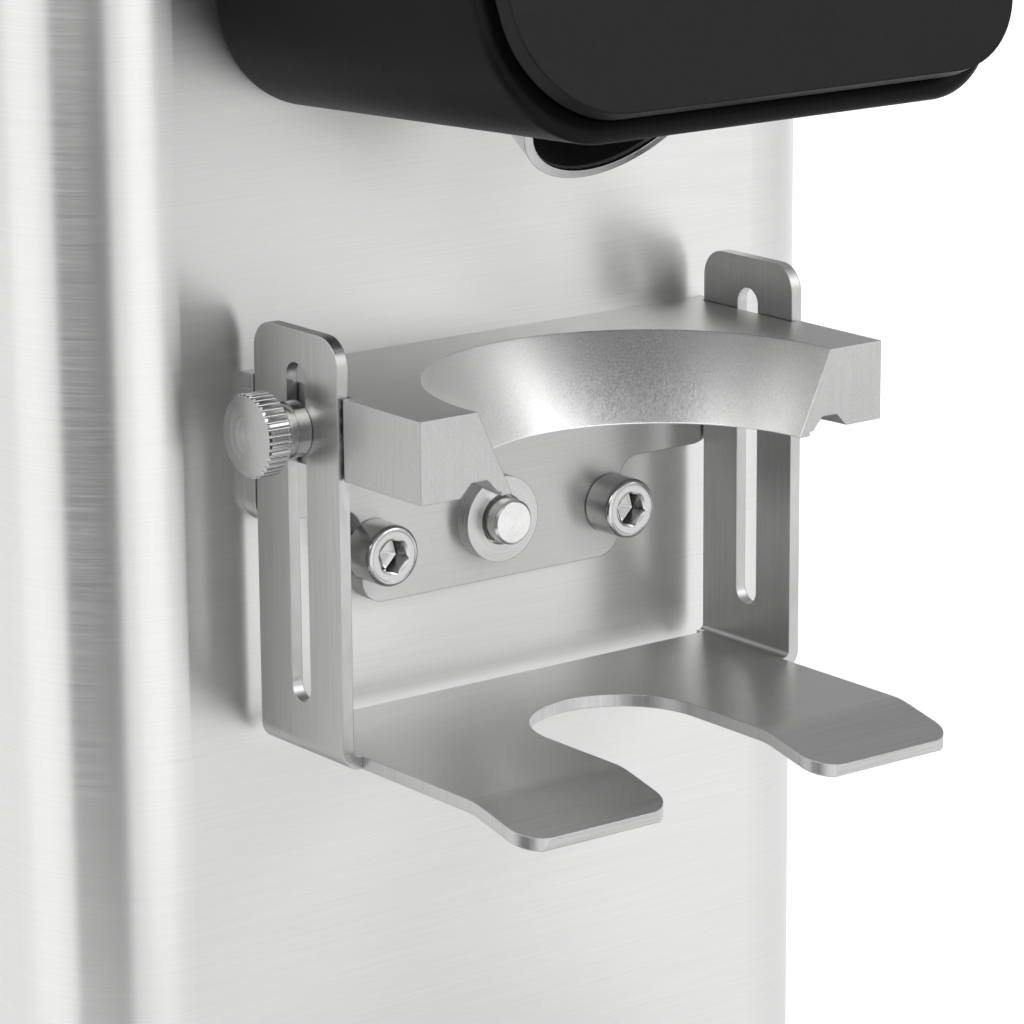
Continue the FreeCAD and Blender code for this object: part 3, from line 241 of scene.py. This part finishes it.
def turned(name, tone, rough, centre, axis, pitch=0.00022, edge=0.2, spread=0.06, mirrored=False):
    """A lathe-turned piece: fine rings round an axis on its faces and along its barrel."""
    g = Graph(name)
    place = g.coords.outputs["Object"]
    if mirrored:
        place = g.vector("ABSOLUTE", place)
        centre = Vector((abs(centre.x), abs(centre.y), abs(centre.z)))
    offset = g.vector("SUBTRACT", place, tuple(centre))
    x, y, z = g.parts(offset)
    along = {"x": x, "y": y, "z": z}[axis]
    others = [v for key, v in (("x", x), ("y", y), ("z", z)) if key != axis]
    square = g.math("ADD", g.math("MULTIPLY", others[0], others[0]), g.math("MULTIPLY", others[1], others[1]))
    radius = g.math("SQRT", square)
    node = g.tree.nodes.new("ShaderNodeCombineXYZ")
    g.put(node.inputs[0], g.math("DIVIDE", radius, pitch))
    g.put(node.inputs[1], g.math("DIVIDE", along, pitch))
    rings = g.noise(node.outputs[0], detail=2.0, rough=0.5)
    g.set("Base Color", g.mix(g.math("ADD", g.vary(rings, -spread, spread), tone, clamp=True),
                              0.0, WARM_WHITE))
    g.set("Metallic", 1.0)
    g.set("Roughness", g.math("ADD", g.vary(rings, -0.05, 0.07), rough, clamp=True))
    if not mirrored:
        # highlights run from the centre of a turned face outwards, and along a turned barrel
        position = g.tree.nodes.new("ShaderNodeNewGeometry").outputs["Position"]
        spoke = g.vector("SUBTRACT", position, tuple(centre))
        flat = tuple(0.0 if key == axis else 1.0 for key in "xyz")
        spoke = g.vector("NORMALIZE", g.vector("MULTIPLY", spoke, flat))
        g.set("Anisotropic", LATHE_STRETCH)
        g.set("Tangent", g.vector("ADD", spoke, tuple(1.0 - f for f in flat)))
    g.bump(rings, strength=0.3, distance=LATHE_HEIGHT, edge=edge * MM)
    return g


# ---- plastics and others ------------------------------------------------------------------
def moulded(name, colour, rough, grain_size=0.35, depth=0.25, edge=0.5, coat=0.0, specular=0.4):
    """Moulded plastic: fine spark-eroded grain, faint cloudiness and dulled edges."""
    g = Graph(name)
    pits = g.noise(g.place(), scale=1000.0 / grain_size, detail=2.0, rough=0.6)
    clouds = g.noise(g.place(), scale=22.0, detail=3.0, rough=0.55)
    dark = tuple(c * 0.82 for c in colour)
    lighter = tuple(min(1.0, c * 1.2 + 0.001) for c in colour)
    g.set("Base Color", g.mix(g.vary(clouds, 0.0, 1.0), dark, lighter))
    shift = g.math("ADD", g.vary(clouds, -0.03, 0.03), g.vary(pits, -0.04, 0.05))
    g.set("Roughness", g.math("ADD", shift, rough, clamp=True))
    g.set("Specular IOR Level", specular)
    g.set("Coat Weight", coat)
    g.set("Coat Roughness", 0.12)
    g.bump(pits, strength=depth, distance=0.00003, edge=edge * MM)
    return g


def rubber(name):
    """Matt black rubber."""
    g = moulded(name, colour=(0.03, 0.03, 0.03), rough=0.75, grain_size=0.6, depth=0.5)
    g.set("Specular IOR Level", 0.3)
    return g


def clear_plastic(name):
    """Smoked clear plastic with faint moulding flow and rubbed haze."""
    g = Graph(name)
    flow = g.noise(g.place((8.0, 8.0, 30.0)), detail=3.0, rough=0.5)
    haze = g.noise(g.place(), scale=260.0, detail=4.0, rough=0.6)
    g.set("Base Color", g.mix(g.vary(flow, 0.0, 1.0), (0.68, 0.69, 0.70), (0.75, 0.76, 0.77)))
    g.set("Roughness", g.ramp(haze, 0.3, 0.8, 0.03, 0.12))
    g.set("Transmission Weight", 0.98)
    g.set("IOR", 1.49)
    g.bump(flow, strength=0.15, distance=0.0001, edge=0.4 * MM)
    return g


def cast(name, tone=0.55):
    """Cast and machined alloy."""
    g = Graph(name)
    lumps = g.noise(g.place(), scale=900.0, detail=4.0, rough=0.6)
    clouds = g.noise(g.place(), scale=60.0, detail=3.0, rough=0.5)
    value = g.math("ADD", g.vary(clouds, -0.05, 0.05), tone, clamp=True)
    g.set("Base Color", g.mix(value, 0.0, (1.0, 1.0, 1.0)))
    g.set("Metallic", 1.0)
    g.set("Roughness", g.vary(lumps, 0.42, 0.6))
    g.bump(lumps, strength=0.4, distance=0.00008, edge=0.5 * MM)
    return g


def laminated(name):
    """Stacked core sheets, varnished."""
    g = Graph(name)
    z = g.parts(g.coords.outputs["Object"])[2]
    sheets = g.math("PINGPONG", g.math("MULTIPLY", z, 2000.0), 0.5)
    spots = g.noise(g.place(), scale=300.0, detail=3.0, rough=0.5)
    g.set("Base Color", g.mix(g.vary(spots, 0.0, 1.0), (0.16, 0.09, 0.05), (0.26, 0.15, 0.09)))
    g.set("Metallic", 0.4)
    g.set("Roughness", g.vary(spots, 0.35, 0.55))
    g.bump(sheets, strength=0.6, distance=0.0001)
    return g


def circuit(name):
    """Circuit board: tracks under green resist."""
    g = Graph(name)
    tracks = g.cells(g.place(), 420.0)
    mask = g.ramp(tracks, 0.04, 0.08, 1.0, 0.0)
    g.set("Base Color", g.mix(mask, (0.01, 0.10, 0.045), (0.03, 0.2, 0.09)))
    g.set("Roughness", g.ramp(tracks, 0.0, 0.4, 0.25, 0.4))
    g.bump(mask, strength=0.3, distance=0.00005, edge=0.2 * MM)
    return g


def holder_metal(name):
    """The rest: brushed top, finely blasted sides and an upright-brushed bore, whose lighter tone is a painted
    highlight.
    """
    g = Graph(name)
    normal = g.parts(g.coords.outputs["Normal"])
    top = g.ramp(g.math("ABSOLUTE", normal[2]), 0.85, 0.97, 0.0, 1.0)
    # the bore narrows downwards, so only its wall leans upwards without being level
    bore = g.math("MULTIPLY", g.ramp(normal[2], 0.08, 0.2, 0.0, 1.0), g.math("SUBTRACT", 1.0, top))
    along_x = g.noise(g.place((LONG, FINE, FINE)), detail=3.0, rough=0.6)
    upright = g.noise(g.place((FINE * 0.55, FINE * 0.55, LONG)), detail=3.0, rough=0.6)
    blast = g.noise(g.place(), scale=3800.0, detail=3.0, rough=0.7)
    sides = g.blend(0.6, upright, blast)
    pattern = g.blend(top, g.blend(bore, sides, upright), along_x)
    clouds = g.noise(g.place((18.0, 18.0, 18.0)), detail=3.0, rough=0.5)
    # painted highlight: the bore's steel tone is lifted to 0.82 against 0.46 on the top and sides
    tone = g.blend(top, g.blend(bore, 0.46, 0.82), 0.46)
    shade = g.math("ADD", g.vary(pattern, -0.07, 0.07), g.vary(clouds, -0.03, 0.03))
    g.set("Base Color", g.mix(g.math("ADD", shade, tone, clamp=True), 0.0, WARM_WHITE))
    g.set("Metallic", 1.0)
    base_rough = g.blend(top, g.blend(bore, 0.46, 0.36), 0.36)
    g.set("Roughness", g.math("ADD", g.vary(pattern, -0.05, 0.06), base_rough, clamp=True))
    g.bump(pattern, strength=0.5, distance=0.00003, edge=0.3 * MM)
    return g


CHUTE_SLOPE = math.radians(36.3)
CHUTE_WALL = 1.45 * MM
CHUTE_EDGE = 0.15 * MM        # over this the dark inside fades into the bare cut end


def chute_metal(name):
    """The outlet tube: polished steel with a near-black, matt inside."""
    g = Graph(name)
    lo, hi = low("outlet_chute"), high("outlet_chute")
    axis = Vector((0.0, math.cos(CHUTE_SLOPE), math.sin(CHUTE_SLOPE)))
    radius = (hi.x - lo.x) / 2.0
    # the tube's lowest front corner lies one radius below the end's centre
    end = Vector((0.0, lo.y + radius * math.sin(CHUTE_SLOPE), lo.z + radius * math.cos(CHUTE_SLOPE)))
    offset = g.vector("SUBTRACT", g.coords.outputs["Object"], tuple(end))
    reach = g.vector("LENGTH", g.vector("CROSS_PRODUCT", offset, tuple(axis)))
    inside = g.ramp(reach, radius - CHUTE_WALL, radius - CHUTE_WALL + CHUTE_EDGE, 1.0, 0.0)
    deep = g.vector("DOT_PRODUCT", offset, tuple(axis))
    dark = g.math("MULTIPLY", inside, g.ramp(deep, 0.0004, 0.0012, 0.0, 1.0))
    inside_speckle = g.noise(g.place(), scale=1500.0, detail=4.0, rough=0.7)
    rings = g.noise(g.place((500.0, 500.0, 500.0)), detail=3.0, rough=0.6)
    steel = g.mix(g.vary(rings, 0.0, 1.0), 0.46, 0.56)
    # the inside is coloured near-black and made non-metallic, from just past the cut end inwards
    inside_black = g.mix(g.ramp(inside_speckle, 0.35, 0.65, 0.0, 1.0), 0.002, 0.008)
    g.set("Base Color", g.mix(dark, steel, inside_black))
    g.set("Metallic", g.math("SUBTRACT", 1.0, dark))
    g.set("Roughness", g.blend(dark, g.vary(rings, 0.16, 0.26), 0.7))
    g.bump(g.blend(dark, rings, inside_speckle), strength=0.25, distance=0.00004, edge=0.25 * MM)
    return g


# ---- lathe-turned and coiled pieces -------------------------------------------------------
SHARP_FROM = math.radians(35.0)


def finish_mesh(name, mesh_data, body, slot, material, *nodes):
    """Turn a bmesh into a piece that rides on a body and stands for CAD nodes."""
    mesh = bpy.data.meshes.new(name)
    bmesh.ops.recalc_face_normals(mesh_data, faces=mesh_data.faces)
    mesh_data.to_mesh(mesh)
    mesh_data.free()
    piece = bpy.data.objects.new(name, mesh)
    bpy.context.scene.collection.objects.link(piece)
    mesh.materials.append(material)
    for polygon in mesh.polygons:
        polygon.use_smooth = True
    mesh.set_sharp_from_angle(angle=SHARP_FROM)
    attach(piece, body)
    if nodes:
        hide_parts(*nodes)
    return piece


COIL_STEPS = 24               # in each turn
WIRE_SIDES = 10
CLOSED_TURNS = 0.9            # at each end, lying against the next turn


def coil(name, node, wire, turns, body, slot, material):
    """A compression spring with closed end coils, as a swept round wire along Y."""
    lo, hi = low(node), high(node)
    centre = (lo + hi) / 2.0
    mean = (hi.x - lo.x) / 2.0 - wire
    start, stop = lo.y + wire, hi.y - wire
    steps = turns * COIL_STEPS
    bm = bmesh.new()
    rings = []
    closed = CLOSED_TURNS / turns
    for i in range(steps + 1):
        t = i / steps
        if t < closed:
            rise = t / closed * 2.0 * wire
        elif t > 1.0 - closed:
            rise = (stop - start) - (1.0 - t) / closed * 2.0 * wire
        else:
            rise = 2.0 * wire + (t - closed) / (1.0 - 2.0 * closed) * (stop - start - 4.0 * wire)
        a = 2.0 * math.pi * turns * t
        out = Vector((math.cos(a), 0.0, math.sin(a)))
        place = Vector((centre.x, start + rise, centre.z)) + out * mean
        ring = []
        for k in range(WIRE_SIDES):
            b = 2.0 * math.pi * k / WIRE_SIDES
            spoke = out * (wire * math.cos(b)) + Vector((0, wire * math.sin(b), 0))
            ring.append(bm.verts.new(place + spoke))
        rings.append(ring)
    for first, second in zip(rings, rings[1:]):
        for k in range(WIRE_SIDES):
            after = (k + 1) % WIRE_SIDES
            bm.faces.new((first[k], first[after], second[after], second[k]))
    bm.faces.new(rings[0])
    bm.faces.new(list(reversed(rings[-1])))
    return finish_mesh(name, bm, body, slot, material, node)


HEXAGON = math.radians(60.0)


def lathe(bm, face, into, profile, steps=72):
    """Bridge rings given as (radius, depth, is_hexagon) from the middle of a face to the far end."""
    side = into.orthogonal().normalized()
    up = into.cross(side)
    rings = []
    for radius, depth, is_hexagon in profile:
        ring = []
        for k in range(steps):
            a = 2.0 * math.pi * k / steps
            reach = radius
            if is_hexagon:
                reach = radius / math.cos(a % HEXAGON - HEXAGON / 2.0)
            spoke = side * (reach * math.cos(a)) + up * (reach * math.sin(a))
            ring.append(bm.verts.new(face + into * depth + spoke))
        rings.append(ring)
    for first, second in zip(rings, rings[1:]):
        for k in range(steps):
            bm.faces.new((first[k], first[(k + 1) % steps], second[(k + 1) % steps], second[k]))
    bm.faces.new(rings[0])
    bm.faces.new(list(reversed(rings[-1])))


SOCKET_DEPTH = 0.6            # share of the head's length
SOCKET_DRILL = 0.3 * MM       # radius left at the point of the drilled foot
SOCKET_MOUTH = 0.35 * MM      # depth at which the hexagon opens into its countersink
HEAD_RIM = 0.9 * MM           # rounding of the head's front edge
HEAD_DISH = 0.1 * MM          # how far the face lies back from its rim
SHANK_LEAD = 0.6 * MM         # chamfer on the shank's end
RIM_STEPS = 6
CORNER = 1.0 / math.cos(HEXAGON / 2.0)


def socket_profile(radius, head, shank, length, across):
    """A socket screw from the foot of its hexagon, over the face and rim, to the shank's end."""
    flat = across / 2.0
    foot = head * SOCKET_DEPTH
    mouth = flat * CORNER + 0.1 * MM
    rows = [(SOCKET_DRILL, foot + 0.5 * MM, False),
            (flat - 0.25 * MM, foot, True),
            (flat, foot - 0.15 * MM, True),
            (flat, SOCKET_MOUTH, True),
            (mouth, HEAD_DISH + 0.02 * MM, False),
            (mouth + 0.15 * MM, HEAD_DISH, False),
            (radius - HEAD_RIM - 0.1 * MM, HEAD_DISH, False),
            (radius - HEAD_RIM, 0.02 * MM, False)]
    for k in range(RIM_STEPS + 1):
        a = math.radians(90.0) * k / RIM_STEPS
        rows.append((radius - HEAD_RIM * (1.0 - math.sin(a)), HEAD_RIM * (1.0 - math.cos(a)), False))
    rows += [(radius, head - 0.25 * MM, False),
             (radius - 0.2 * MM, head, False),
             (shank, head, False),
             (shank, head + length - SHANK_LEAD, False),
             (shank - SHANK_LEAD, head + length, False)]
    return rows


def socket_screws(name, node, faces, into, profile, material):
    """Socket screws that stand for one CAD node of screws."""
    bm = bmesh.new()
    for face in faces:
        lathe(bm, face, into, profile)
    return finish_mesh(name, bm, "main", "screw_steel", material, node)


# ---- materials on the CAD nodes -----------------------------------------------------------
def dress(graph, *nodes):
    for node in nodes:
        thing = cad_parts[node]
        if not thing.material_slots:
            thing.data.materials.append(graph.material)
        for slot in thing.material_slots:
            slot.material = graph.material


ALONG_Y, ALONG_Z = Vector((0, 1, 0)), Vector((0, 0, 1))
PIN_AXIS = Vector((0, plate_y, pin.z))

dress(brushed("column_brushed", tone=0.64, rough=0.33, direction="xy", edge=0.3, depth=0.25,
              stretch=ALONG_Z), "column_shell")
dress(brushed("cover_brushed", tone=0.6, rough=0.33, direction="x", stretch=ALONG_Z), "rear_cover")
dress(brushed("fork_brushed", tone=0.47, rough=0.32, direction="xz", depth=0.35, spread=0.05,
              stretch=ALONG_Y), "fork_bracket")
dress(brushed("plate_brushed", tone=0.50, rough=0.34, direction="x", stretch=ALONG_Z), "mounting_plate")
dress(brushed("tray_brushed", tone=0.52, rough=0.34, direction="x", edge=0.4), "grounds_tray")
dress(brushed("chassis_plated", tone=0.46, rough=0.38, direction="y", edge=0.3), "chassis_plate", "switch_bracket")
dress(brushed("capacitor_can", tone=0.7, rough=0.3, direction="z", edge=0.6, depth=0.2), "capacitor")
dress(holder_metal("rest_finish"), "holder_rest")
dress(chute_metal("chute_steel"), "outlet_chute")

# the two M6 socket cap screws beside the start pin
CAP_HEAD, CAP_LENGTH = 5.0 * MM, 12.0 * MM
cap_side = high("mounting_screws").x - CAP_HEAD
cap_z = middle("mounting_screws").z
cap_finish = turned("cap_screw", tone=0.5, rough=0.16, centre=Vector((cap_side, abs(plate_y), cap_z)), axis="y",
                    pitch=0.0003, edge=0.1, spread=0.04, mirrored=True)
dress(cap_finish, "mounting_screws")
cap_faces = [Vector((side * cap_side, low("mounting_screws").y, cap_z)) for side in (-1.0, 1.0)]
socket_screws("cap_screws", "mounting_screws", cap_faces, ALONG_Y,
              socket_profile(radius=CAP_HEAD, head=6.0 * MM, shank=3.0 * MM, length=CAP_LENGTH, across=5.0 * MM),
              cap_finish.material)

# the six M4 screws of the rear cover
COVER_HEAD = 3.8 * MM
small_screw = cast("small_screw", 0.6)
cover_lo, cover_hi = low("rear_cover_screws"), high("rear_cover_screws")
cover_faces = [Vector((side * (cover_hi.x - COVER_HEAD), cover_hi.y, z)) for side in (-1.0, 1.0)
               for z in (cover_lo.z + COVER_HEAD, (cover_lo.z + cover_hi.z) / 2.0, cover_hi.z - COVER_HEAD)]
socket_screws("cover_socket_screws", "rear_cover_screws", cover_faces, -ALONG_Y,
              socket_profile(radius=COVER_HEAD, head=2.4 * MM, shank=2.0 * MM, length=8.0 * MM, across=2.5 * MM),
              small_screw.material)
dress(small_screw, "rest_screws", "rivet_nuts", "column_screws", "rear_cover_screws", "foot_screws", "shaft_nut")

dress(turned("pin_turned", tone=0.68, rough=0.26, centre=PIN_AXIS, axis="y", pitch=0.00025), "switch_pin")
dress(turned("bush_turned", tone=0.5, rough=0.24, centre=PIN_AXIS, axis="y", pitch=0.00025),
      "pin_bushing", "bushing_nut")
dress(turned("thumb_turned", tone=0.44, rough=0.22, centre=middle("thumb_screw"), axis="x", pitch=0.00025,
             edge=0.0, spread=0.01), "thumb_screw")
dress(turned("guide_turned", tone=0.62, rough=0.2, centre=middle("guide_screw"), axis="x", pitch=0.0002,
             spread=0.04), "guide_screw")
dress(turned("shaft_ground", tone=0.78, rough=0.2, centre=mill, axis="z", pitch=0.0004),
      "motor_shaft", "bearing_lower", "bearing_upper")
dress(turned("burr_ground", tone=0.5, rough=0.3, centre=mill, axis="z", pitch=0.0005), "lower_burr", "upper_burr")
dress(cast("alloy_cast", 0.55), "motor_housing", "burr_chamber", "upper_carrier", "lower_carrier")
dress(laminated("core_laminated"), "motor_stator", "motor_rotor")

dress(moulded("head_satin", colour=(0.004, 0.004, 0.0042), rough=0.45, grain_size=0.45, depth=0.22, edge=0.8,
              specular=0.07), "head_housing")
dress(moulded("panel_satin", colour=(0.006, 0.006, 0.0062), rough=0.42, grain_size=0.6, depth=0.1,
              specular=0.1), "front_panel")
dress(moulded("key_satin", colour=(0.05, 0.05, 0.052), rough=0.3, grain_size=0.5, depth=0.1, edge=0.3, coat=0.2),
      "button_left", "button_middle", "button_right")
dress(moulded("window_dark", colour=(0.006, 0.006, 0.008), rough=0.06, grain_size=2.0, depth=0.02, edge=0.2,
              coat=0.8), "display_window")
dress(moulded("base_grain", colour=(0.03, 0.03, 0.031), rough=0.5, grain_size=0.55, depth=0.35, edge=0.8),
      "base_housing", "base_plate", "top_cover")
dress(moulded("fitting_black", colour=(0.025, 0.025, 0.026), rough=0.38, grain_size=0.5, edge=0.4),
      "adjust_ring", "hopper_gate", "hopper_lid", "power_switch_frame", "cable_inlet", "micro_switch")
dress(moulded("rocker_red", colour=(0.32, 0.02, 0.015), rough=0.28, grain_size=0.6, depth=0.1, coat=0.3),
      "power_rocker")
dress(rubber("foot_rubber"), "foot_front_left", "foot_front_right", "foot_rear_left", "foot_rear_right")
dress(clear_plastic("hopper_smoked"), "bean_hopper")
dress(circuit("board_resist"), "control_board")

SPRING_WIRE = 0.55 * MM       # radius
SPRING_TURNS = 7
spring_steel = turned("spring_wire", tone=0.74, rough=0.25, centre=PIN_AXIS, axis="y")
spring = coil("pin_coil", "pin_spring", SPRING_WIRE, SPRING_TURNS, "main", "pin_steel", spring_steel.material)
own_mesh(spring)


# ---- floor, light and camera --------------------------------------------------------------
FLOOR_SHADE = (0.92, 0.92, 0.92, 1.0)
FLOOR_GLOW = 0.12
PAPER_ROUGH = 0.9
CARD_SHADE = (0.02, 0.02, 0.02, 1.0)
WHITE = (1.0, 1.0, 1.0, 1.0)
COLUMN_CORNER = 20.0 * MM


def floor():
    size = 60.0
    mesh = bpy.data.meshes.new("floor")
    corners = [(-size, -size, 0), (size, -size, 0), (size, size, 0), (-size, size, 0)]
    mesh.from_pydata(corners, [], [(0, 1, 2, 3)])
    plane = bpy.data.objects.new("floor", mesh)
    bpy.context.scene.collection.objects.link(plane)
    g = Graph("floor_paper")
    g.set("Base Color", FLOOR_SHADE)
    g.set("Roughness", PAPER_ROUGH)
    g.set("Emission Color", WHITE)
    g.set("Emission Strength", FLOOR_GLOW)
    mesh.materials.append(g.material)


def area(name, place, aim, width, height, power):
    data = bpy.data.lights.new(name, "AREA")
    data.shape = "RECTANGLE"
    data.size = width
    data.size_y = height
    data.energy = power
    lamp = bpy.data.objects.new(name, data)
    bpy.context.scene.collection.objects.link(lamp)
    lamp.location = place
    lamp.rotation_euler = (Vector(aim) - Vector(place)).to_track_quat("-Z", "Y").to_euler()
    return lamp


# Brightness of the studio walls by direction: degrees from +Y towards +X.
SKY = ((-180, 1.1), (180, 1.1), (-166, 1.0), (-150, 0.85), (-110, 0.85), (-92, 1.0), (-60, 1.1), (-30, 0.9),
       (30, 0.7), (60, 0.3), (95, 0.35), (118, 0.8), (142, 0.98), (160, 1.1))


def card(name, azimuth, spread, glow, reach=0.30, height=0.9):
    """A studio card seen only in reflections, round the column's front left corner."""
    corner = low("column_shell") + Vector((COLUMN_CORNER, COLUMN_CORNER, 0.0))
    angle = math.radians(azimuth)
    ahead = Vector((math.sin(angle), math.cos(angle), 0.0))
    across = Vector((ahead.y, -ahead.x, 0.0)) * (reach * math.tan(math.radians(spread / 2.0)))
    foot = Vector((corner.x, corner.y, 0.0)) + ahead * reach
    top = Vector((0.0, 0.0, height))
    mesh = bpy.data.meshes.new(name)
    corners = [foot - across, foot + across, foot + across + top, foot - across + top]
    mesh.from_pydata(corners, [], [(0, 1, 2, 3)])
    panel = bpy.data.objects.new(name, mesh)
    bpy.context.scene.collection.objects.link(panel)
    g = Graph(name)
    g.set("Base Color", CARD_SHADE)
    g.set("Roughness", PAPER_ROUGH)
    g.set("Emission Color", WHITE)
    g.set("Emission Strength", glow)
    mesh.materials.append(g.material)
    panel.visible_camera = False
    panel.visible_diffuse = False
    panel.visible_shadow = False
    panel.visible_transmission = False


def sky(strength):
    world = bpy.data.worlds.new("studio")
    bpy.context.scene.world = world
    world.use_nodes = True
    tree = world.node_tree
    shade = tree.nodes["Background"]
    shade.inputs["Strength"].default_value = strength
    coords = tree.nodes.new("ShaderNodeTexCoord")
    split = tree.nodes.new("ShaderNodeSeparateXYZ")
    tree.links.new(coords.outputs["Generated"], split.inputs[0])
    angle = tree.nodes.new("ShaderNodeMath")
    angle.operation = "ARCTAN2"
    tree.links.new(split.outputs[0], angle.inputs[0])
    tree.links.new(split.outputs[1], angle.inputs[1])
    turn = tree.nodes.new("ShaderNodeMapRange")
    turn.inputs["From Min"].default_value = -math.pi
    turn.inputs["From Max"].default_value = math.pi
    tree.links.new(angle.outputs[0], turn.inputs["Value"])
    ramp = tree.nodes.new("ShaderNodeValToRGB")
    ramp.color_ramp.interpolation = "B_SPLINE"
    tree.links.new(turn.outputs[0], ramp.inputs[0])
    stops = ramp.color_ramp.elements
    for number, (degrees, value) in enumerate(SKY):
        if number < 2:
            stop = stops[number]
            stop.position = (degrees + 180.0) / 360.0
        else:
            stop = stops.new((degrees + 180.0) / 360.0)
        stop.color = (value, value, value, 1.0)
    tree.links.new(ramp.outputs[0], shade.inputs["Color"])


YAW, PITCH, ROLL = math.radians(37.221), math.radians(14.362), math.radians(-0.431)
LENS = 152.25
SENSOR = 36.0
EYE_FROM_PIN = Vector((-0.40746, -0.54451, 0.17412))   # y from the column's face


def camera():
    """The photograph's view without lens shift: turned right, tipped down and rolled slightly."""
    ahead = Vector((math.sin(YAW) * math.cos(PITCH), math.cos(YAW) * math.cos(PITCH), -math.sin(PITCH)))
    side = Vector((math.cos(YAW), -math.sin(YAW), 0.0))
    top = side.cross(ahead)
    right = side * math.cos(ROLL) + top * math.sin(ROLL)
    up = top * math.cos(ROLL) - side * math.sin(ROLL)
    data = bpy.data.cameras.new("camera")
    data.sensor_width = SENSOR
    data.lens = LENS
    data.clip_start = 0.02
    data.clip_end = 200.0
    view = bpy.data.objects.new("camera", data)
    bpy.context.scene.collection.objects.link(view)
    turn = Matrix((right, up, -ahead)).transposed()
    eye = Vector((0.0, face_y, pin.z)) + EYE_FROM_PIN
    view.matrix_world = Matrix.Translation(eye) @ turn.to_4x4()
    bpy.context.scene.camera = view


floor()
sky(1.0)
card("card_dark", azimuth=234.0, spread=50.0, glow=0.0, height=0.3)
card("card_front", azimuth=181.0, spread=26.0, glow=1.5)
card("card_left", azimuth=288.0, spread=32.0, glow=1.35)
area("key", place=(-1.9, -0.9, 1.9), aim=(0, 0, 0.25), width=1.4, height=1.4, power=24.0)
area("fill", place=(1.2, -1.9, 1.6), aim=(0, 0, 0.2), width=1.6, height=1.2, power=16.0)
# this one lights the floor behind and isn't mirrored in the rear cover
back_light = area("back", place=(1.2, 2.6, 2.4), aim=(0.6, 1.2, 0.0), width=2.4, height=1.4, power=40.0)
back_light.visible_glossy = False
camera()

scene = bpy.context.scene
scene.view_settings.view_transform = "Standard"
scene.view_settings.look = "None"
